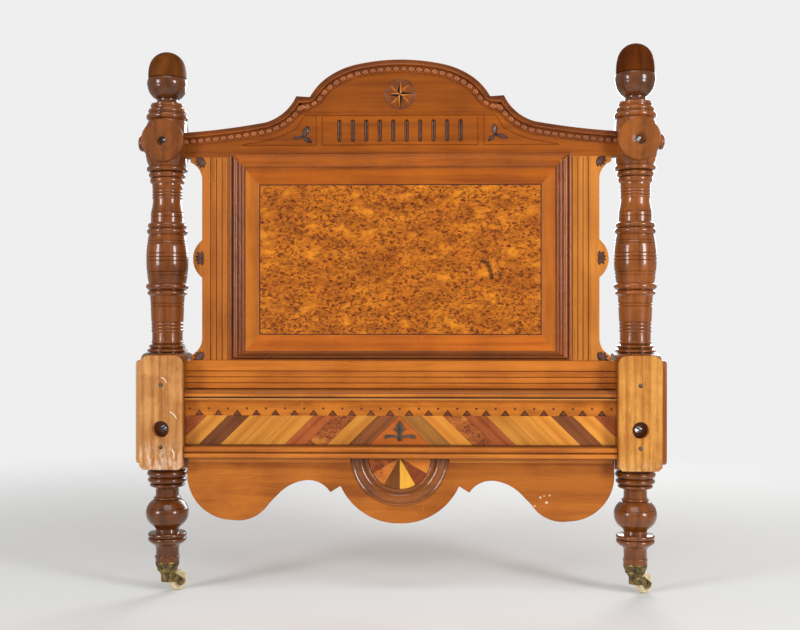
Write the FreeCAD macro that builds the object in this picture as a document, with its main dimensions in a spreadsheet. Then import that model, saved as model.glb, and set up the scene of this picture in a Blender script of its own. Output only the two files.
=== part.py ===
import FreeCAD, Part
import math
import os

import Sketcher
from FreeCAD import Placement, Rotation, Vector

# One end of a child's cot: two turned posts on castors, and the panelled,
# inlaid and carved board that is tenoned between them.
#
# X runs along the cot end, Y runs back through it and Z is up. The decorated
# face looks along -Y. The origin is on the floor, in the middle of the end's
# length and of its depth. All sizes are millimetres.
#
# "reach" is how far something stands in front of the posts' centre line, so a
# negative reach lies behind it.

# The driving dimensions

SIZES = {
    # the posts, from the floor up
    "post_spacing": 777.0,
    "castor_height": 52.0,
    "foot_height": 155.0,
    "block_height": 192.5,
    "shaft_height": 309.5,
    "ball_height": 78.0,
    "collar_height": 26.0,
    "turning_radius": 35.0,
    "ball_rise": 9.0,
    "block_side": 73.0,
    "ball_side": 64.0,
    "spigot_radius": 13.9,
    "spigot_length": 10.0,
    # the finials, which are not quite a pair
    "left_finial_height": 87.0,
    "right_finial_height": 97.0,
    "finial_radius": 33.5,
    "dowel_radius": 8.0,
    "dowel_length": 28.0,
    # what is fixed on the faces of the posts
    "pad_width": 70.0,
    "pad_height": 186.0,
    "pad_thick": 13.5,
    "pad_lift": 3.0,
    "pad_shoulder": 15.0,
    "pad_clip": 6.0,
    "boss_radius": 35.0,
    "boss_thick": 9.0,
    "boss_round": 3.0,
    "tablet_width": 50.0,
    "tablet_height": 170.0,
    "tablet_thick": 11.0,
    "tablet_lift": 10.0,
    "tablet_corner": 8.0,
    "roundel_radius": 13.0,
    "roundel_length": 15.0,
    # the bolts that hold the cot's side rails
    "lower_bolt_lift": 69.0,
    "lower_bolt_radius": 5.3,
    "counterbore_radius": 13.5,
    "counterbore_depth": 21.5,
    "upper_bolt_radius": 4.5,
    "boss_hole_radius": 5.5,
    # the screws left in the pads
    "screw_head_radius": 3.4,
    "screw_head_depth": 2.0,
    "screw_shank_radius": 1.8,
    "screw_length": 24.0,
    "upper_screw_lift": 138.0,
    "lower_screw_lift": 37.0,
    # the castors
    "cup_top_radius": 19.5,
    "cup_waist_radius": 15.5,
    "cup_foot_radius": 10.5,
    "cup_height": 21.0,
    "cup_waist_lift": 5.0,
    "cup_floor": 7.0,
    "pintle_radius": 4.0,
    "pintle_head_radius": 7.0,
    "pintle_head_thick": 2.2,
    "horn_gap": 0.4,
    "horn_radius": 10.6,
    "crown_lift": 1.0,
    "cheek_thick": 2.6,
    "cheek_tip_radius": 8.0,
    "castor_trail": 22.0,
    "wheel_rise": 3.0,
    "wheel_width": 14.0,
    "wheel_room": 1.2,
    "cheek_room": 0.6,
    "axle_radius": 2.0,
    "axle_head_radius": 3.4,
    "axle_head_thick": 1.0,
    "running_gap": 0.05,
    "left_trail_angle": 54.0,
    "right_trail_angle": 41.0,
    # the crest board
    "board_reach": 14.0,
    "board_thick": 26.0,
    "crest_lift": 14.0,
    "crest_end_height": 40.5,
    "shoulder_height": 100.0,
    "shoulder_drop": 1.5,
    "shoulder_width": 22.5,
    "arch_half": 148.5,
    "arch_height": 61.0,
    "edge_width": 9.5,
    "edge_thick": 6.0,
    "bead_width": 11.0,
    "bead_thick": 3.5,
    "flute_pitch": 22.2,
    "flute_width": 7.0,
    "flute_height": 37.0,
    "flute_lift": 24.6,
    "rosette_radius": 26.0,
    "rosette_lift": 103.0,
    "inlay_thick": 2.0,
    "star_waist": 4.5,
    "leaf_reach": 17.0,
    "leaf_spacing": 319.0,
    "leaf_lift": 34.5,
    "leaf_size": 17.0,
    # the stiles and the reeded rail
    "rail_height": 48.0,
    "rail_reach": 16.0,
    "stile_gap": 24.3,
    "stile_width": 65.0,
    "ear_reach": 19.3,
    "ear_lip": 8.0,
    "ear_height": 39.0,
    "side_ear_reach": 15.3,
    "side_ear_height": 62.5,
    "reed_depth": 2.0,
    "reed_groove": 2.2,
    "stile_reed_pitch": 8.7,
    "stile_reed_inset": 17.0,
    "rail_reed_pitch": 9.8,
    "rail_reed_lift": 10.7,
    # the panel and its mouldings
    "ground_reach": 4.0,
    "ground_thick": 12.0,
    "side_lap": 15.5,
    "top_lap": 7.0,
    "side_moulding": 23.7,
    "top_moulding": 27.0,
    "bottom_moulding": 15.8,
    "moulding_reach": 21.0,
    "side_border": 20.8,
    "top_border": 24.5,
    "bottom_border": 26.3,
    "border_outer_reach": 11.0,
    "border_inner_reach": 8.0,
    "veneer_reach": 7.0,
    # the box rail, with its frieze and its band of inlaid woods
    "box_lift": 21.0,
    "box_reach": 22.0,
    "lower_moulding_height": 21.5,
    "lower_moulding_reach": 41.0,
    "reed_rise": 3.0,
    "band_height": 47.5,
    "band_thick": 4.0,
    "frieze_height": 24.5,
    "cornice_height": 17.5,
    "cornice_reach": 36.5,
    "line_height": 2.4,
    "line_depth": 1.5,
    "line_lift": 4.3,
    "notch_pitch": 31.4,
    "notch_width": 15.5,
    "notch_height": 9.8,
    "notch_depth": 1.5,
    "peg_radius": 1.9,
    "peg_lift": 11.7,
    "triangle_half": 49.0,
    "sprig_thick": 2.0,
    "sprig_height": 33.0,
    "sprig_lift": 6.3,
    "sprig_half": 26.0,
    # the apron, and the fan in it
    "apron_height": 108.0,
    "apron_reach": 24.0,
    "apron_thick": 20.0,
    "apron_side_gap": 2.0,
    "fan_radius": 51.0,
    "fan_thick": 2.0,
    "half_round_inner": 51.5,
    "half_round_outer": 80.0,
    "half_round_rise": 5.0,
    # the joints between the boards and the posts
    "tenon_length": 20.0,
    "tenon_thick": 10.0,
    "tenon_shoulder": 11.0,
    "fit_gap": 0.1,
}

# How many there are of what repeats
FLUTE_COUNT = 10
STILE_REED_COUNT = 4
RAIL_REED_COUNT = 3
NOTCH_COUNT = 22
PEG_COUNT = 23
PIECES_A_SIDE = 10
FAN_COUNT = 6

SIDES = {"left": -1, "right": 1}

doc = FreeCAD.newDocument("CotEnd")
sheet = doc.addObject("Spreadsheet::Sheet", "Sizes")


# A length that knows its value and the expression that gives it

class Size:
    def __init__(self, value, text):
        self.value = value
        self.text = text

    def __add__(self, other):
        other = as_size(other)
        return Size(self.value + other.value, f"({self.text} + {other.text})")

    def __sub__(self, other):
        other = as_size(other)
        return Size(self.value - other.value, f"({self.text} - {other.text})")

    def __mul__(self, other):
        other = as_size(other)
        return Size(self.value * other.value, f"({self.text} * {other.text})")

    def __truediv__(self, other):
        other = as_size(other)
        return Size(self.value / other.value, f"({self.text} / {other.text})")

    def __neg__(self):
        return self * -1


def as_size(number):
    if isinstance(number, Size):
        return number
    return Size(float(number), f"({number})")


def root(size):
    return Size(math.sqrt(size.value), f"sqrt({size.text})")


class Sheet:
    """The spreadsheet's cells, read by name."""


S = Sheet()
for row, (alias, number) in enumerate(SIZES.items(), start=1):
    sheet.set(f"A{row}", alias)
    sheet.set(f"B{row}", str(number))
    sheet.setAlias(f"B{row}", alias)
    setattr(S, alias, Size(number, f"Sizes.{alias}"))
doc.recompute()

# Places that several pieces share, worked out from the sheet

block_foot = S.castor_height + S.foot_height
block_top = block_foot + S.block_height
ball_foot = block_top + S.shaft_height
ball_middle = ball_foot + S.ball_height / 2
collar_foot = ball_foot + S.ball_height
post_top = collar_foot + S.collar_height

# the pads reach furthest forward and the blocks furthest back
block_half = S.block_side / 2
ball_half = S.ball_side / 2
pad_reach = block_half + S.pad_thick
axis_y = (pad_reach - block_half) / 2

post_half = S.post_spacing / 2
clear_half = post_half - block_half
crest_half = post_half - ball_half
board_back = S.board_reach - S.board_thick

stile_outer = clear_half - S.stile_gap
stile_inner = stile_outer - S.stile_width

# the box rail lies between the blocks and the crest between the balls, and the
# reeded rail and the stiles fill what is left between them
box_foot = block_foot + S.box_lift
band_foot = box_foot + S.lower_moulding_height
band_top = band_foot + S.band_height
frieze_top = band_top + S.frieze_height
box_top = frieze_top + S.cornice_height
rail_foot = box_top
rail_top = rail_foot + S.rail_height
crest_foot = ball_foot + S.crest_lift
shoulder_half = S.arch_half + S.shoulder_width
band_reach = S.box_reach + S.band_thick

lower_bolt_height = block_foot + S.lower_bolt_lift
pad_foot = block_foot + S.pad_lift

# where the mouldings round the panel begin and end
frame_half = stile_inner + S.side_lap
frame_foot = rail_top
frame_top = crest_foot + S.top_lap
sight_half = frame_half - S.side_moulding
sight_foot = frame_foot + S.bottom_moulding
sight_top = frame_top - S.top_moulding
veneer_half = sight_half - S.side_border
veneer_foot = sight_foot + S.bottom_border
veneer_top = sight_top - S.top_border

# a cutter runs past what it cuts by this much
overrun = S.block_side


# Helpers

def drive(thing, prop, size):
    """Bind one property of an object to the sheet."""
    thing.setExpression(prop, as_size(size).text)


def place(thing, x=0, y=0, z=0, rotation=None):
    """Put an object somewhere, with each coordinate bound to the sheet."""
    x, y, z = as_size(x), as_size(y), as_size(z)
    rotation = rotation or Rotation()
    thing.Placement = Placement(Vector(x.value, y.value, z.value), rotation)
    drive(thing, "Placement.Base.x", x)
    drive(thing, "Placement.Base.y", y)
    drive(thing, "Placement.Base.z", z)
    return thing


def new_body(name):
    return doc.addObject("PartDesign::Body", name)


def turned_area(corners):
    """Twice the signed area of a chain of corners: positive when it runs anticlockwise."""
    total = 0.0
    for (ax, ay, _), (bx, by, _) in zip(corners, corners[1:] + corners[:1]):
        total += ax.value * by.value - bx.value * ay.value
    return total


def sketch_outline(body, role, points):
    """A closed sketch on one of the body's own planes.

    A point is (x, y), or (x, y, rise) where an arc leads on from it: rise is how
    far the arc's middle stands out of its chord, and it is negative for a hollow.
    """
    plane = next(f for f in body.Origin.OriginFeatures if f.Role == role)
    sketch = body.newObject("Sketcher::SketchObject", body.Name + "Sketch")
    sketch.AttachmentSupport = [(plane, "")]
    sketch.MapMode = "FlatFace"
    corners = []
    for point in points:
        rise = as_size(point[2]) if len(point) > 2 else None
        corners.append((as_size(point[0]), as_size(point[1]), rise))
    outward = 1 if turned_area(corners) > 0 else -1

    shapes = []
    for (ax, ay, rise), (bx, by, _) in zip(corners, corners[1:] + corners[:1]):
        start = Vector(ax.value, ay.value, 0)
        end = Vector(bx.value, by.value, 0)
        if rise is None:
            shapes.append(Part.LineSegment(start, end))
            continue
        run = end - start
        side = Vector(run.y, -run.x, 0).normalize() * (rise.value * outward)
        middle = (start + end) * 0.5 + side
        shapes.append(Part.Arc(start, middle, end))
    sketch.addGeometry(shapes, False)

    links = []
    bound = {}
    for index, (x, y, rise) in enumerate(corners):
        before = (index - 1) % len(corners)
        start = Vector(x.value, y.value, 0)
        first = end_nearest(sketch, index, start)
        links.append(Sketcher.Constraint(
            "Coincident", before, end_nearest(sketch, before, start), index, first))
        for value, axis, kind in ((x, -2, "DistanceX"), (y, -1, "DistanceY")):
            if value.value == 0:
                links.append(Sketcher.Constraint("PointOnObject", index, first, axis))
            else:
                bound[len(links)] = value
                links.append(Sketcher.Constraint(kind, -1, 1, index, first, value.value))
        if rise is not None:
            bx, by, _ = corners[(index + 1) % len(corners)]
            tall = rise if rise.value > 0 else -rise
            chord = (bx - x) * (bx - x) + (by - y) * (by - y)
            radius = chord / (tall * 8) + tall / 2
            bound[len(links)] = radius
            links.append(Sketcher.Constraint("Radius", index, radius.value))
    sketch.addConstraint(links)
    for number, value in bound.items():
        sketch.setExpression(f"Constraints[{number}]", value.text)
    return sketch


def end_nearest(sketch, index, spot):
    """Which end of a piece of geometry lies at a spot: 1 is its start and 2 is its end."""
    start = sketch.getPoint(index, 1)
    end = sketch.getPoint(index, 2)
    return 1 if (start - spot).Length <= (end - spot).Length else 2


def padded(name, role, points, length, centred=False):
    """A body that is one outline, padded."""
    body = new_body(name)
    sketch = sketch_outline(body, role, points)
    pad = body.newObject("PartDesign::Pad", name + "Pad")
    pad.Profile = sketch
    pad.Midplane = centred
    drive(pad, "Length", length)
    sketch.Visibility = False
    return body


def plate(name, points, reach, back):
    """A board seen from the front: its outline in X and Z, from its back to its front face."""
    body = padded(name, "XZ_Plane", points, as_size(reach) - back)
    return place(body, y=axis_y - back)


def bar(name, section, half_length):
    """A moulding that runs along X: its section is in reach and Z."""
    points = [(-as_size(p[0]), *p[1:]) for p in section]
    body = padded(name, "YZ_Plane", points, half_length * 2, centred=True)
    return place(body, y=axis_y)


def upright(name, section, foot, top):
    """A moulding that runs along Z: its section is in X and reach."""
    points = [(p[0], -as_size(p[1]), *p[2:]) for p in section]
    body = padded(name, "XY_Plane", points, top - foot)
    return place(body, y=axis_y, z=foot)


def turned(name, *outlines):
    """A body turned about Z, from one or more outlines in radius and height."""
    body = new_body(name)
    for number, points in enumerate(outlines):
        sketch = sketch_outline(body, "XZ_Plane", points)
        turning = body.newObject("PartDesign::Revolution", f"{name}Turning{number}")
        turning.Profile = sketch
        turning.ReferenceAxis = (sketch, ["V_Axis"])
        turning.Angle = 360
        sketch.Visibility = False
        body.Tip = turning
    return body


def box(name, low, high):
    """A block between two corners, each given in X, Y and Z."""
    thing = doc.addObject("Part::Box", name)
    for prop, a, b in zip(("Length", "Width", "Height"), low, high):
        drive(thing, prop, as_size(b) - a)
    return place(thing, *low)


def rod(name, radius, length, x=0, y=0, z=0, rotation=None):
    """A cylinder that starts at a place and runs along its own turned Z axis."""
    thing = doc.addObject("Part::Cylinder", name)
    drive(thing, "Radius", radius)
    drive(thing, "Height", length)
    return place(thing, x, y, z, rotation)


def joined(name, things):
    thing = doc.addObject("Part::MultiFuse", name)
    thing.Shapes = things
    return thing


def cut(name, base, tools):
    thing = doc.addObject("Part::Cut", name)
    thing.Base = base
    thing.Tool = tools[0] if len(tools) == 1 else joined(name + "Tools", tools)
    return thing


def overlap(name, first, second):
    thing = doc.addObject("Part::MultiCommon", name)
    thing.Shapes = [first, second]
    return thing


def grouped(name, things):
    """Separate solids that are one node."""
    thing = doc.addObject("Part::Compound", name)
    thing.Links = things
    return thing


NODES = {}


def node(label, thing):
    """Give a finished piece the name of its file."""
    thing.Label = label
    NODES[label] = thing
    return thing


# Turnings, read from the bottom up. Each row is a height as a share of its
# stretch, a radius as a share of the turning radius, and, where a bead or a
# hollow leads on to the next row, its rise as a share of that radius.

FOOT_SHARES = [
    (0.003, 0.560), (0.052, 0.590, 0.020), (0.062, 0.545), (0.145, 0.545, -0.020),
    (0.187, 0.670), (0.200, 0.780), (0.219, 0.860, 0.045), (0.261, 0.860), (0.265, 0.800),
    (0.269, 0.870, 0.040), (0.310, 0.870), (0.316, 0.570), (0.350, 0.545), (0.378, 0.640),
    (0.381, 0.660, 0.350), (0.664, 0.660), (0.668, 0.600, 0.045), (0.694, 0.600),
    (0.704, 0.550), (0.782, 0.540), (0.804, 0.690), (0.807, 0.770, 0.050), (0.839, 0.770),
    (0.847, 0.740), (0.855, 0.855, 0.060), (0.901, 0.855), (0.910, 0.800),
    (0.921, 0.885, 0.060), (0.978, 0.885), (0.987, 0.830),
]

SHAFT_SHARES = [
    (0.003, 0.800), (0.005, 0.915, 0.035), (0.017, 0.915), (0.024, 0.800),
    (0.030, 0.830, 0.035), (0.040, 0.830), (0.047, 0.700), (0.050, 0.715, 0.030),
    (0.063, 0.715), (0.089, 0.712), (0.122, 0.715, 0.022), (0.138, 0.715, 0.022),
    (0.155, 0.715, 0.022), (0.172, 0.725), (0.176, 0.760), (0.254, 0.785), (0.312, 0.808),
    (0.317, 0.860), (0.319, 0.900, 0.040), (0.333, 0.900), (0.338, 0.860),
    (0.344, 0.957, 0.043), (0.367, 0.957), (0.372, 0.870), (0.377, 0.885, 0.105),
    (0.635, 0.885), (0.639, 0.830), (0.651, 0.940, 0.030), (0.670, 0.940), (0.677, 0.850),
    (0.683, 0.885, 0.038), (0.699, 0.885), (0.707, 0.763), (0.745, 0.777), (0.760, 0.757, -0.020),
    (0.824, 0.677, 0.025), (0.840, 0.677, 0.025), (0.857, 0.677, 0.025), (0.874, 0.677),
    (0.898, 0.685, -0.030), (0.931, 0.815), (0.943, 0.828, 0.043), (0.966, 0.828),
    (0.971, 0.780), (0.974, 0.915, 0.052), (0.997, 0.915),
]

COLLAR_SHARES = [
    (0.010, 0.943, 0.040), (0.310, 0.943), (0.360, 0.850), (0.420, 0.857, 0.038),
    (0.650, 0.857), (0.730, 0.760), (0.800, 0.757, 0.030), (0.960, 0.757),
]

# the blocks' corners are shaved round where the turning runs out of them
BLOCK_SHOULDER_SHARE = 0.068
BLOCK_SHOULDER_RADIUS_SHARE = 0.96
BALL_NECK_SHARE = 0.857
SHOULDER_RISE_SHARE = 0.07

# the finial's radii are shares of its own largest radius
FINIAL_SHARES = [
    (0.000, 0.640, -0.050), (0.090, 0.510, 0.110), (0.360, 0.940, 0.060), (0.480, 0.980),
    (0.495, 0.890), (0.510, 0.935, 0.030),
]
# where the dome that tops it off begins
DOME_SHARE = (0.760, 0.860)


def turning(shares, foot, height, radius):
    """Turn a table of shares into points of an outline."""
    points = []
    for share in shares:
        point = [radius * share[1], foot + height * share[0]]
        if len(share) > 2:
            point.append(radius * share[2])
        points.append(tuple(point))
    return points


# The posts

def make_post_blank(name):
    """The turning and its squared parts, on its own axis."""
    corner = root(block_half * block_half * 2)
    shaved = S.block_height * BLOCK_SHOULDER_SHARE
    neck = S.turning_radius * BLOCK_SHOULDER_RADIUS_SHARE
    rise = S.turning_radius * SHOULDER_RISE_SHARE
    ball_neck = S.turning_radius * BALL_NECK_SHARE
    spigot = [(0, S.castor_height - S.spigot_length),
              (S.spigot_radius, S.castor_height - S.spigot_length),
              (S.spigot_radius, S.castor_height), (0, S.castor_height)]
    stretches = [
        turning(FOOT_SHARES, S.castor_height, S.foot_height, S.turning_radius),
        [(neck, block_foot, rise), (corner, block_foot + shaved),
         (corner, block_top - shaved, rise), (neck, block_top)],
        turning(SHAFT_SHARES, block_top, S.shaft_height, S.turning_radius),
        [(ball_neck, ball_foot, S.ball_rise), (ball_neck, collar_foot)],
        turning(COLLAR_SHARES, collar_foot, S.collar_height, S.turning_radius),
    ]
    outlines = [spigot]
    for points, foot, top in zip(
            stretches, [S.castor_height, block_foot, block_top, ball_foot, collar_foot],
            [block_foot, block_top, ball_foot, collar_foot, post_top]):
        closed = [(0, foot)] + ([(points[0][0], foot)] if points[0][1].value != foot.value else [])
        closed += points
        closed += [(points[-1][0], top)] if points[-1][1].value != top.value else []
        outlines.append(closed + [(0, top)])
    turning_body = turned(name + "Turning", *outlines)
    lower = box(name + "LowerSquare", (-block_half, -block_half, 0),
                (block_half, block_half, ball_foot))
    middle = box(name + "BallSquare", (-ball_half, -ball_half, ball_foot),
                 (ball_half, ball_half, collar_foot))
    upper = box(name + "UpperSquare", (-block_half, -block_half, collar_foot),
                (block_half, block_half, post_top))
    return overlap(name + "Squared", turning_body, joined(name + "Squares", [lower, middle, upper]))


# a tool that points forward, to -Y, and one that points outward, to +X or -X
FORWARD = Rotation(Vector(1, 0, 0), 90)


def outward(side):
    return Rotation(Vector(0, 1, 0), 90 * side)


def tenon_boxes(name, side, shoulder_x, foot, top, gap):
    """A tenon, or the larger box of its mortise, at one end of a rail."""
    ends = [shoulder_x * side, (shoulder_x + S.tenon_length + gap) * side]
    low_x, high_x = ends if side > 0 else ends[::-1]
    half = S.tenon_thick / 2 + gap
    return box(name, (low_x, axis_y - half, foot - gap), (high_x, axis_y + half, top + gap))


# each tenoned board: where its shoulder lies, and its foot and top
TENONS = {
    "crest": (crest_half, crest_foot + S.tenon_shoulder,
              crest_foot + S.crest_end_height - S.tenon_shoulder / 2),
    "rail": (clear_half, rail_foot + S.tenon_shoulder, rail_top - S.tenon_shoulder),
    "box": (clear_half, box_foot + S.tenon_shoulder, box_top - S.tenon_shoulder * 2),
}


def with_tenons(name, board, tenon):
    """A board with a tenon at each end."""
    shoulder, foot, top = TENONS[tenon]
    ends = [tenon_boxes(f"{name}{which}Tenon", side, shoulder, foot, top, as_size(0))
            for which, side in SIDES.items()]
    return joined(name + "Tenoned", [board] + ends)


screw_lifts = [S.lower_screw_lift, S.upper_screw_lift]


def screw_tools(name, side, gap):
    """The two screws of one pad, or the holes that they sit in."""
    screws = []
    for number, lift in enumerate(screw_lifts):
        spot = {"x": post_half * side, "z": pad_foot + lift}
        head = rod(f"{name}Head{number}", S.screw_head_radius + gap, S.screw_head_depth,
                   y=axis_y - pad_reach + S.screw_head_depth, rotation=FORWARD, **spot)
        shank = rod(f"{name}Shank{number}", S.screw_shank_radius + gap, S.screw_length + gap,
                    y=axis_y - pad_reach + S.screw_length + gap, rotation=FORWARD, **spot)
        screws.append(joined(f"{name}{number}", [head, shank]))
    return screws


for which, side in SIDES.items():
    blank = place(make_post_blank(which.title() + "Post"), x=post_half * side, y=axis_y)
    cutters = [tenon_boxes(f"{which}{tenon}Mortise", side, shoulder, foot, top, S.fit_gap)
               for tenon, (shoulder, foot, top) in TENONS.items()]
    cutters.append(rod(which + "LowerBolt", S.lower_bolt_radius, overrun * 2,
                       x=post_half * side, y=axis_y + overrun, z=lower_bolt_height,
                       rotation=FORWARD))
    cutters.append(rod(which + "Counterbore", S.counterbore_radius, overrun,
                       x=post_half * side, y=axis_y - pad_reach + S.counterbore_depth,
                       z=lower_bolt_height, rotation=FORWARD))
    cutters.append(rod(which + "UpperBolt", S.upper_bolt_radius, overrun * 2,
                       x=post_half * side, y=axis_y + overrun, z=ball_middle, rotation=FORWARD))
    cutters.append(rod(which + "DowelHole", S.dowel_radius + S.fit_gap,
                       S.dowel_length + S.fit_gap, x=post_half * side, y=axis_y,
                       z=post_top - S.dowel_length - S.fit_gap))
    cutters += screw_tools(which + "PostScrewHole", side, S.fit_gap)
    node(which + "_post", cut(which.title() + "Post", blank, cutters))


# The finials, each with a dowel that goes down into its post

def cap_rise(radius, tall):
    """The rise of the arc that turns into a cap of a ball, from its edge to its top."""
    chord = radius * radius + tall * tall
    ball = chord / (tall * 2)
    return ball - root(ball * ball - chord / 4)


for which, side in SIDES.items():
    height = getattr(S, which + "_finial_height")
    points = [(0, -S.dowel_length), (S.dowel_radius, -S.dowel_length), (S.dowel_radius, 0)]
    points += turning(FINIAL_SHARES, as_size(0), height, S.finial_radius)
    dome_foot = S.finial_radius * DOME_SHARE[1]
    dome_tall = height * (1 - DOME_SHARE[0])
    points += [(dome_foot, height * DOME_SHARE[0], cap_rise(dome_foot, dome_tall)), (0, height)]
    finial = turned(which.title() + "Finial", points)
    node(which + "_finial", place(finial, x=post_half * side, y=axis_y, z=post_top))


# The pads over the rail bolts, and what is fixed on the posts' other faces

def rounded_rectangle(x, foot, top, half_width, corner):
    """An upright outline with four round corners."""
    rise = corner * (1 - math.sqrt(0.5))
    left, right = x - half_width, x + half_width
    return [(left + corner, foot), (right - corner, foot, rise), (right, foot + corner),
            (right, top - corner, rise), (right - corner, top), (left + corner, top, rise),
            (left, top - corner), (left, foot + corner, rise)]


def pad_outline(x):
    """A tall pad: shoulders rounded at the top and corners clipped at the foot."""
    left, right = x - S.pad_width / 2, x + S.pad_width / 2
    top = pad_foot + S.pad_height
    round_corner, clip = S.pad_shoulder, S.pad_clip
    rise = round_corner * (1 - math.sqrt(0.5))
    return [(left + clip, pad_foot), (right - clip, pad_foot), (right, pad_foot + clip),
            (right, top - round_corner, rise), (right - round_corner, top),
            (left + round_corner, top, rise), (left, top - round_corner), (left, pad_foot + clip)]


all_screws = []
for which, side in SIDES.items():
    x = post_half * side
    pad = plate(which.title() + "PadBlank", pad_outline(x), pad_reach, block_half)
    pad_hole = rod(which + "PadHole", S.counterbore_radius, overrun, x=x,
                   y=axis_y - pad_reach + S.counterbore_depth, z=lower_bolt_height,
                   rotation=FORWARD)
    holes = [pad_hole] + screw_tools(which + "PadScrewHole", side, S.fit_gap)
    node(which + "_rail_pad", cut(which.title() + "Pad", pad, holes))
    all_screws += screw_tools(which + "Screw", side, as_size(0))

    boss = turned(which.title() + "BossBlank", [
        (S.boss_hole_radius, 0), (S.boss_radius, 0), (S.boss_radius, S.boss_thick - S.boss_round,
                                                      S.boss_round * (1 - math.sqrt(0.5))),
        (S.boss_radius - S.boss_round, S.boss_thick), (S.boss_hole_radius, S.boss_thick)])
    node(which + "_boss_disc", place(boss, x=x, y=axis_y - ball_half, z=ball_middle,
                                     rotation=FORWARD))

    tablet_foot = block_foot + S.tablet_lift
    tablet = padded(which.title() + "Tablet", "YZ_Plane", rounded_rectangle(
        as_size(0), tablet_foot, tablet_foot + S.tablet_height, S.tablet_width / 2,
        S.tablet_corner), S.tablet_thick)
    tablet_x = post_half + block_half if side > 0 else -(post_half + block_half + S.tablet_thick)
    node(which + "_side_tablet", place(tablet, x=tablet_x, y=axis_y))

    knob_neck = S.roundel_radius * 0.8
    knob_foot = S.roundel_length * 0.45
    knob_edge = S.roundel_length * 0.55
    roundel = turned(which.title() + "Roundel", [
        (0, 0), (knob_neck, 0), (knob_neck, knob_foot),
        (S.roundel_radius, knob_edge, cap_rise(S.roundel_radius, S.roundel_length - knob_edge)),
        (0, S.roundel_length)])
    node(which + "_side_roundel", place(roundel, x=(post_half + ball_half) * side, y=axis_y,
                                        z=ball_middle, rotation=outward(side)))
node("pad_screws", grouped("PadScrews", all_screws))


# The castors. Each is made about its own pivot, trailing along X, and then turned.

# the wheel stands a little higher than the cup's foot, and the crown over its axle
wheel_radius = (S.castor_height - S.cup_height + S.wheel_rise) / 2
horn_top = S.castor_height - S.cup_height - S.horn_gap
horn_foot = wheel_radius + S.crown_lift
cheek_half = S.wheel_width / 2 + S.cheek_room + S.cheek_thick
slot_half = S.wheel_width / 2 + S.cheek_room
SIDEWAYS = Rotation(Vector(1, 0, 0), 90)


def make_cup(name):
    """A brass cup round the post's spigot, with a bore in its floor for the pintle."""
    foot = S.castor_height - S.cup_height
    hollow = S.spigot_radius + S.fit_gap
    bore = S.pintle_radius + S.running_gap
    return turned(name, [
        (bore, foot), (S.cup_foot_radius, foot), (S.cup_waist_radius, foot + S.cup_waist_lift),
        (S.cup_top_radius, S.castor_height - S.cup_waist_lift),
        (S.cup_top_radius, S.castor_height), (hollow, S.castor_height),
        (hollow, foot + S.cup_floor), (bore, foot + S.cup_floor)])


def make_horn(name):
    """The fork: a round crown, two cheeks down to the axle, and the pintle on top."""
    crown = rod(name + "Crown", S.horn_radius, horn_top - horn_foot, z=horn_foot)
    tip = S.cheek_tip_radius
    cheeks = padded(name + "Cheeks", "XZ_Plane", [
        (0, horn_foot), (0, horn_top), (S.horn_radius, horn_top),
        (S.castor_trail + tip, wheel_radius, tip),
        (S.castor_trail - tip, wheel_radius - tip * 0.2)], cheek_half * 2, centred=True)
    pintle = rod(name + "Pintle", S.pintle_radius,
                 S.horn_gap + S.cup_floor + S.running_gap + S.pintle_head_thick, z=horn_top)
    head = rod(name + "PintleHead", S.pintle_head_radius, S.pintle_head_thick,
               z=horn_top + S.horn_gap + S.cup_floor + S.running_gap)
    slot = rod(name + "Slot", wheel_radius + S.wheel_room, slot_half * 2, x=S.castor_trail,
               y=slot_half, z=wheel_radius, rotation=SIDEWAYS)
    hole = rod(name + "AxleHole", S.axle_radius + S.running_gap, overrun, x=S.castor_trail,
               y=overrun / 2, z=wheel_radius, rotation=SIDEWAYS)
    solid = joined(name + "Solid", [crown, cheeks, pintle, head])
    return cut(name, solid, [slot, hole])


def make_axle(name):
    """The wheel's pin, riveted over both cheeks."""
    half = cheek_half + S.running_gap
    pin = rod(name + "Pin", S.axle_radius, half * 2, x=S.castor_trail, y=half,
              z=wheel_radius, rotation=SIDEWAYS)
    heads = [rod(name + "Head" + end, S.axle_head_radius, S.axle_head_thick,
                 x=S.castor_trail, y=start, z=wheel_radius, rotation=SIDEWAYS)
             for end, start in (("Near", -half), ("Far", half + S.axle_head_thick))]
    return joined(name, [pin] + heads)


# the wheel's section, from its bore out to its tread, as shares of half its
# width and of its radius
WHEEL_SHARES = [
    (0.94, 0.300), (0.94, 0.340), (0.70, 0.420), (0.70, 0.640), (0.86, 0.760), (0.86, 0.880, 0.020),
]


def make_wheel(name):
    """A ceramic wheel with a round tread and dished faces, turned about its axle."""
    bore = S.axle_radius + S.running_gap
    half = S.wheel_width / 2
    upper = [(wheel_radius * r, half * h) for h, r, *_ in WHEEL_SHARES]
    lower = [(wheel_radius * r, -half * h) for h, r, *_ in WHEEL_SHARES[::-1]]
    edge = upper[-1]
    points = [(bore, half)] + [(wheel_radius * WHEEL_SHARES[0][1], half)]
    points += upper[1:-1]
    points += [(edge[0], edge[1], wheel_radius * 0.12)]
    points += lower[:-1]
    points += [(wheel_radius * WHEEL_SHARES[0][1], -half), (bore, -half)]
    wheel = turned(name + "Blank", points)
    place(wheel, x=S.castor_trail, z=wheel_radius, rotation=SIDEWAYS)
    return grouped(name, [wheel])


def turn_castor(thing, which, side):
    """Put a castor's piece under its post, trailing the way that it was left."""
    angle = getattr(S, which + "_trail_angle")
    place(thing, x=post_half * side, y=axis_y, rotation=Rotation(Vector(0, 0, 1), angle.value))
    thing.Placement.Rotation.Axis = Vector(0, 0, 1)
    drive(thing, "Placement.Rotation.Angle", angle)
    return thing


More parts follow.
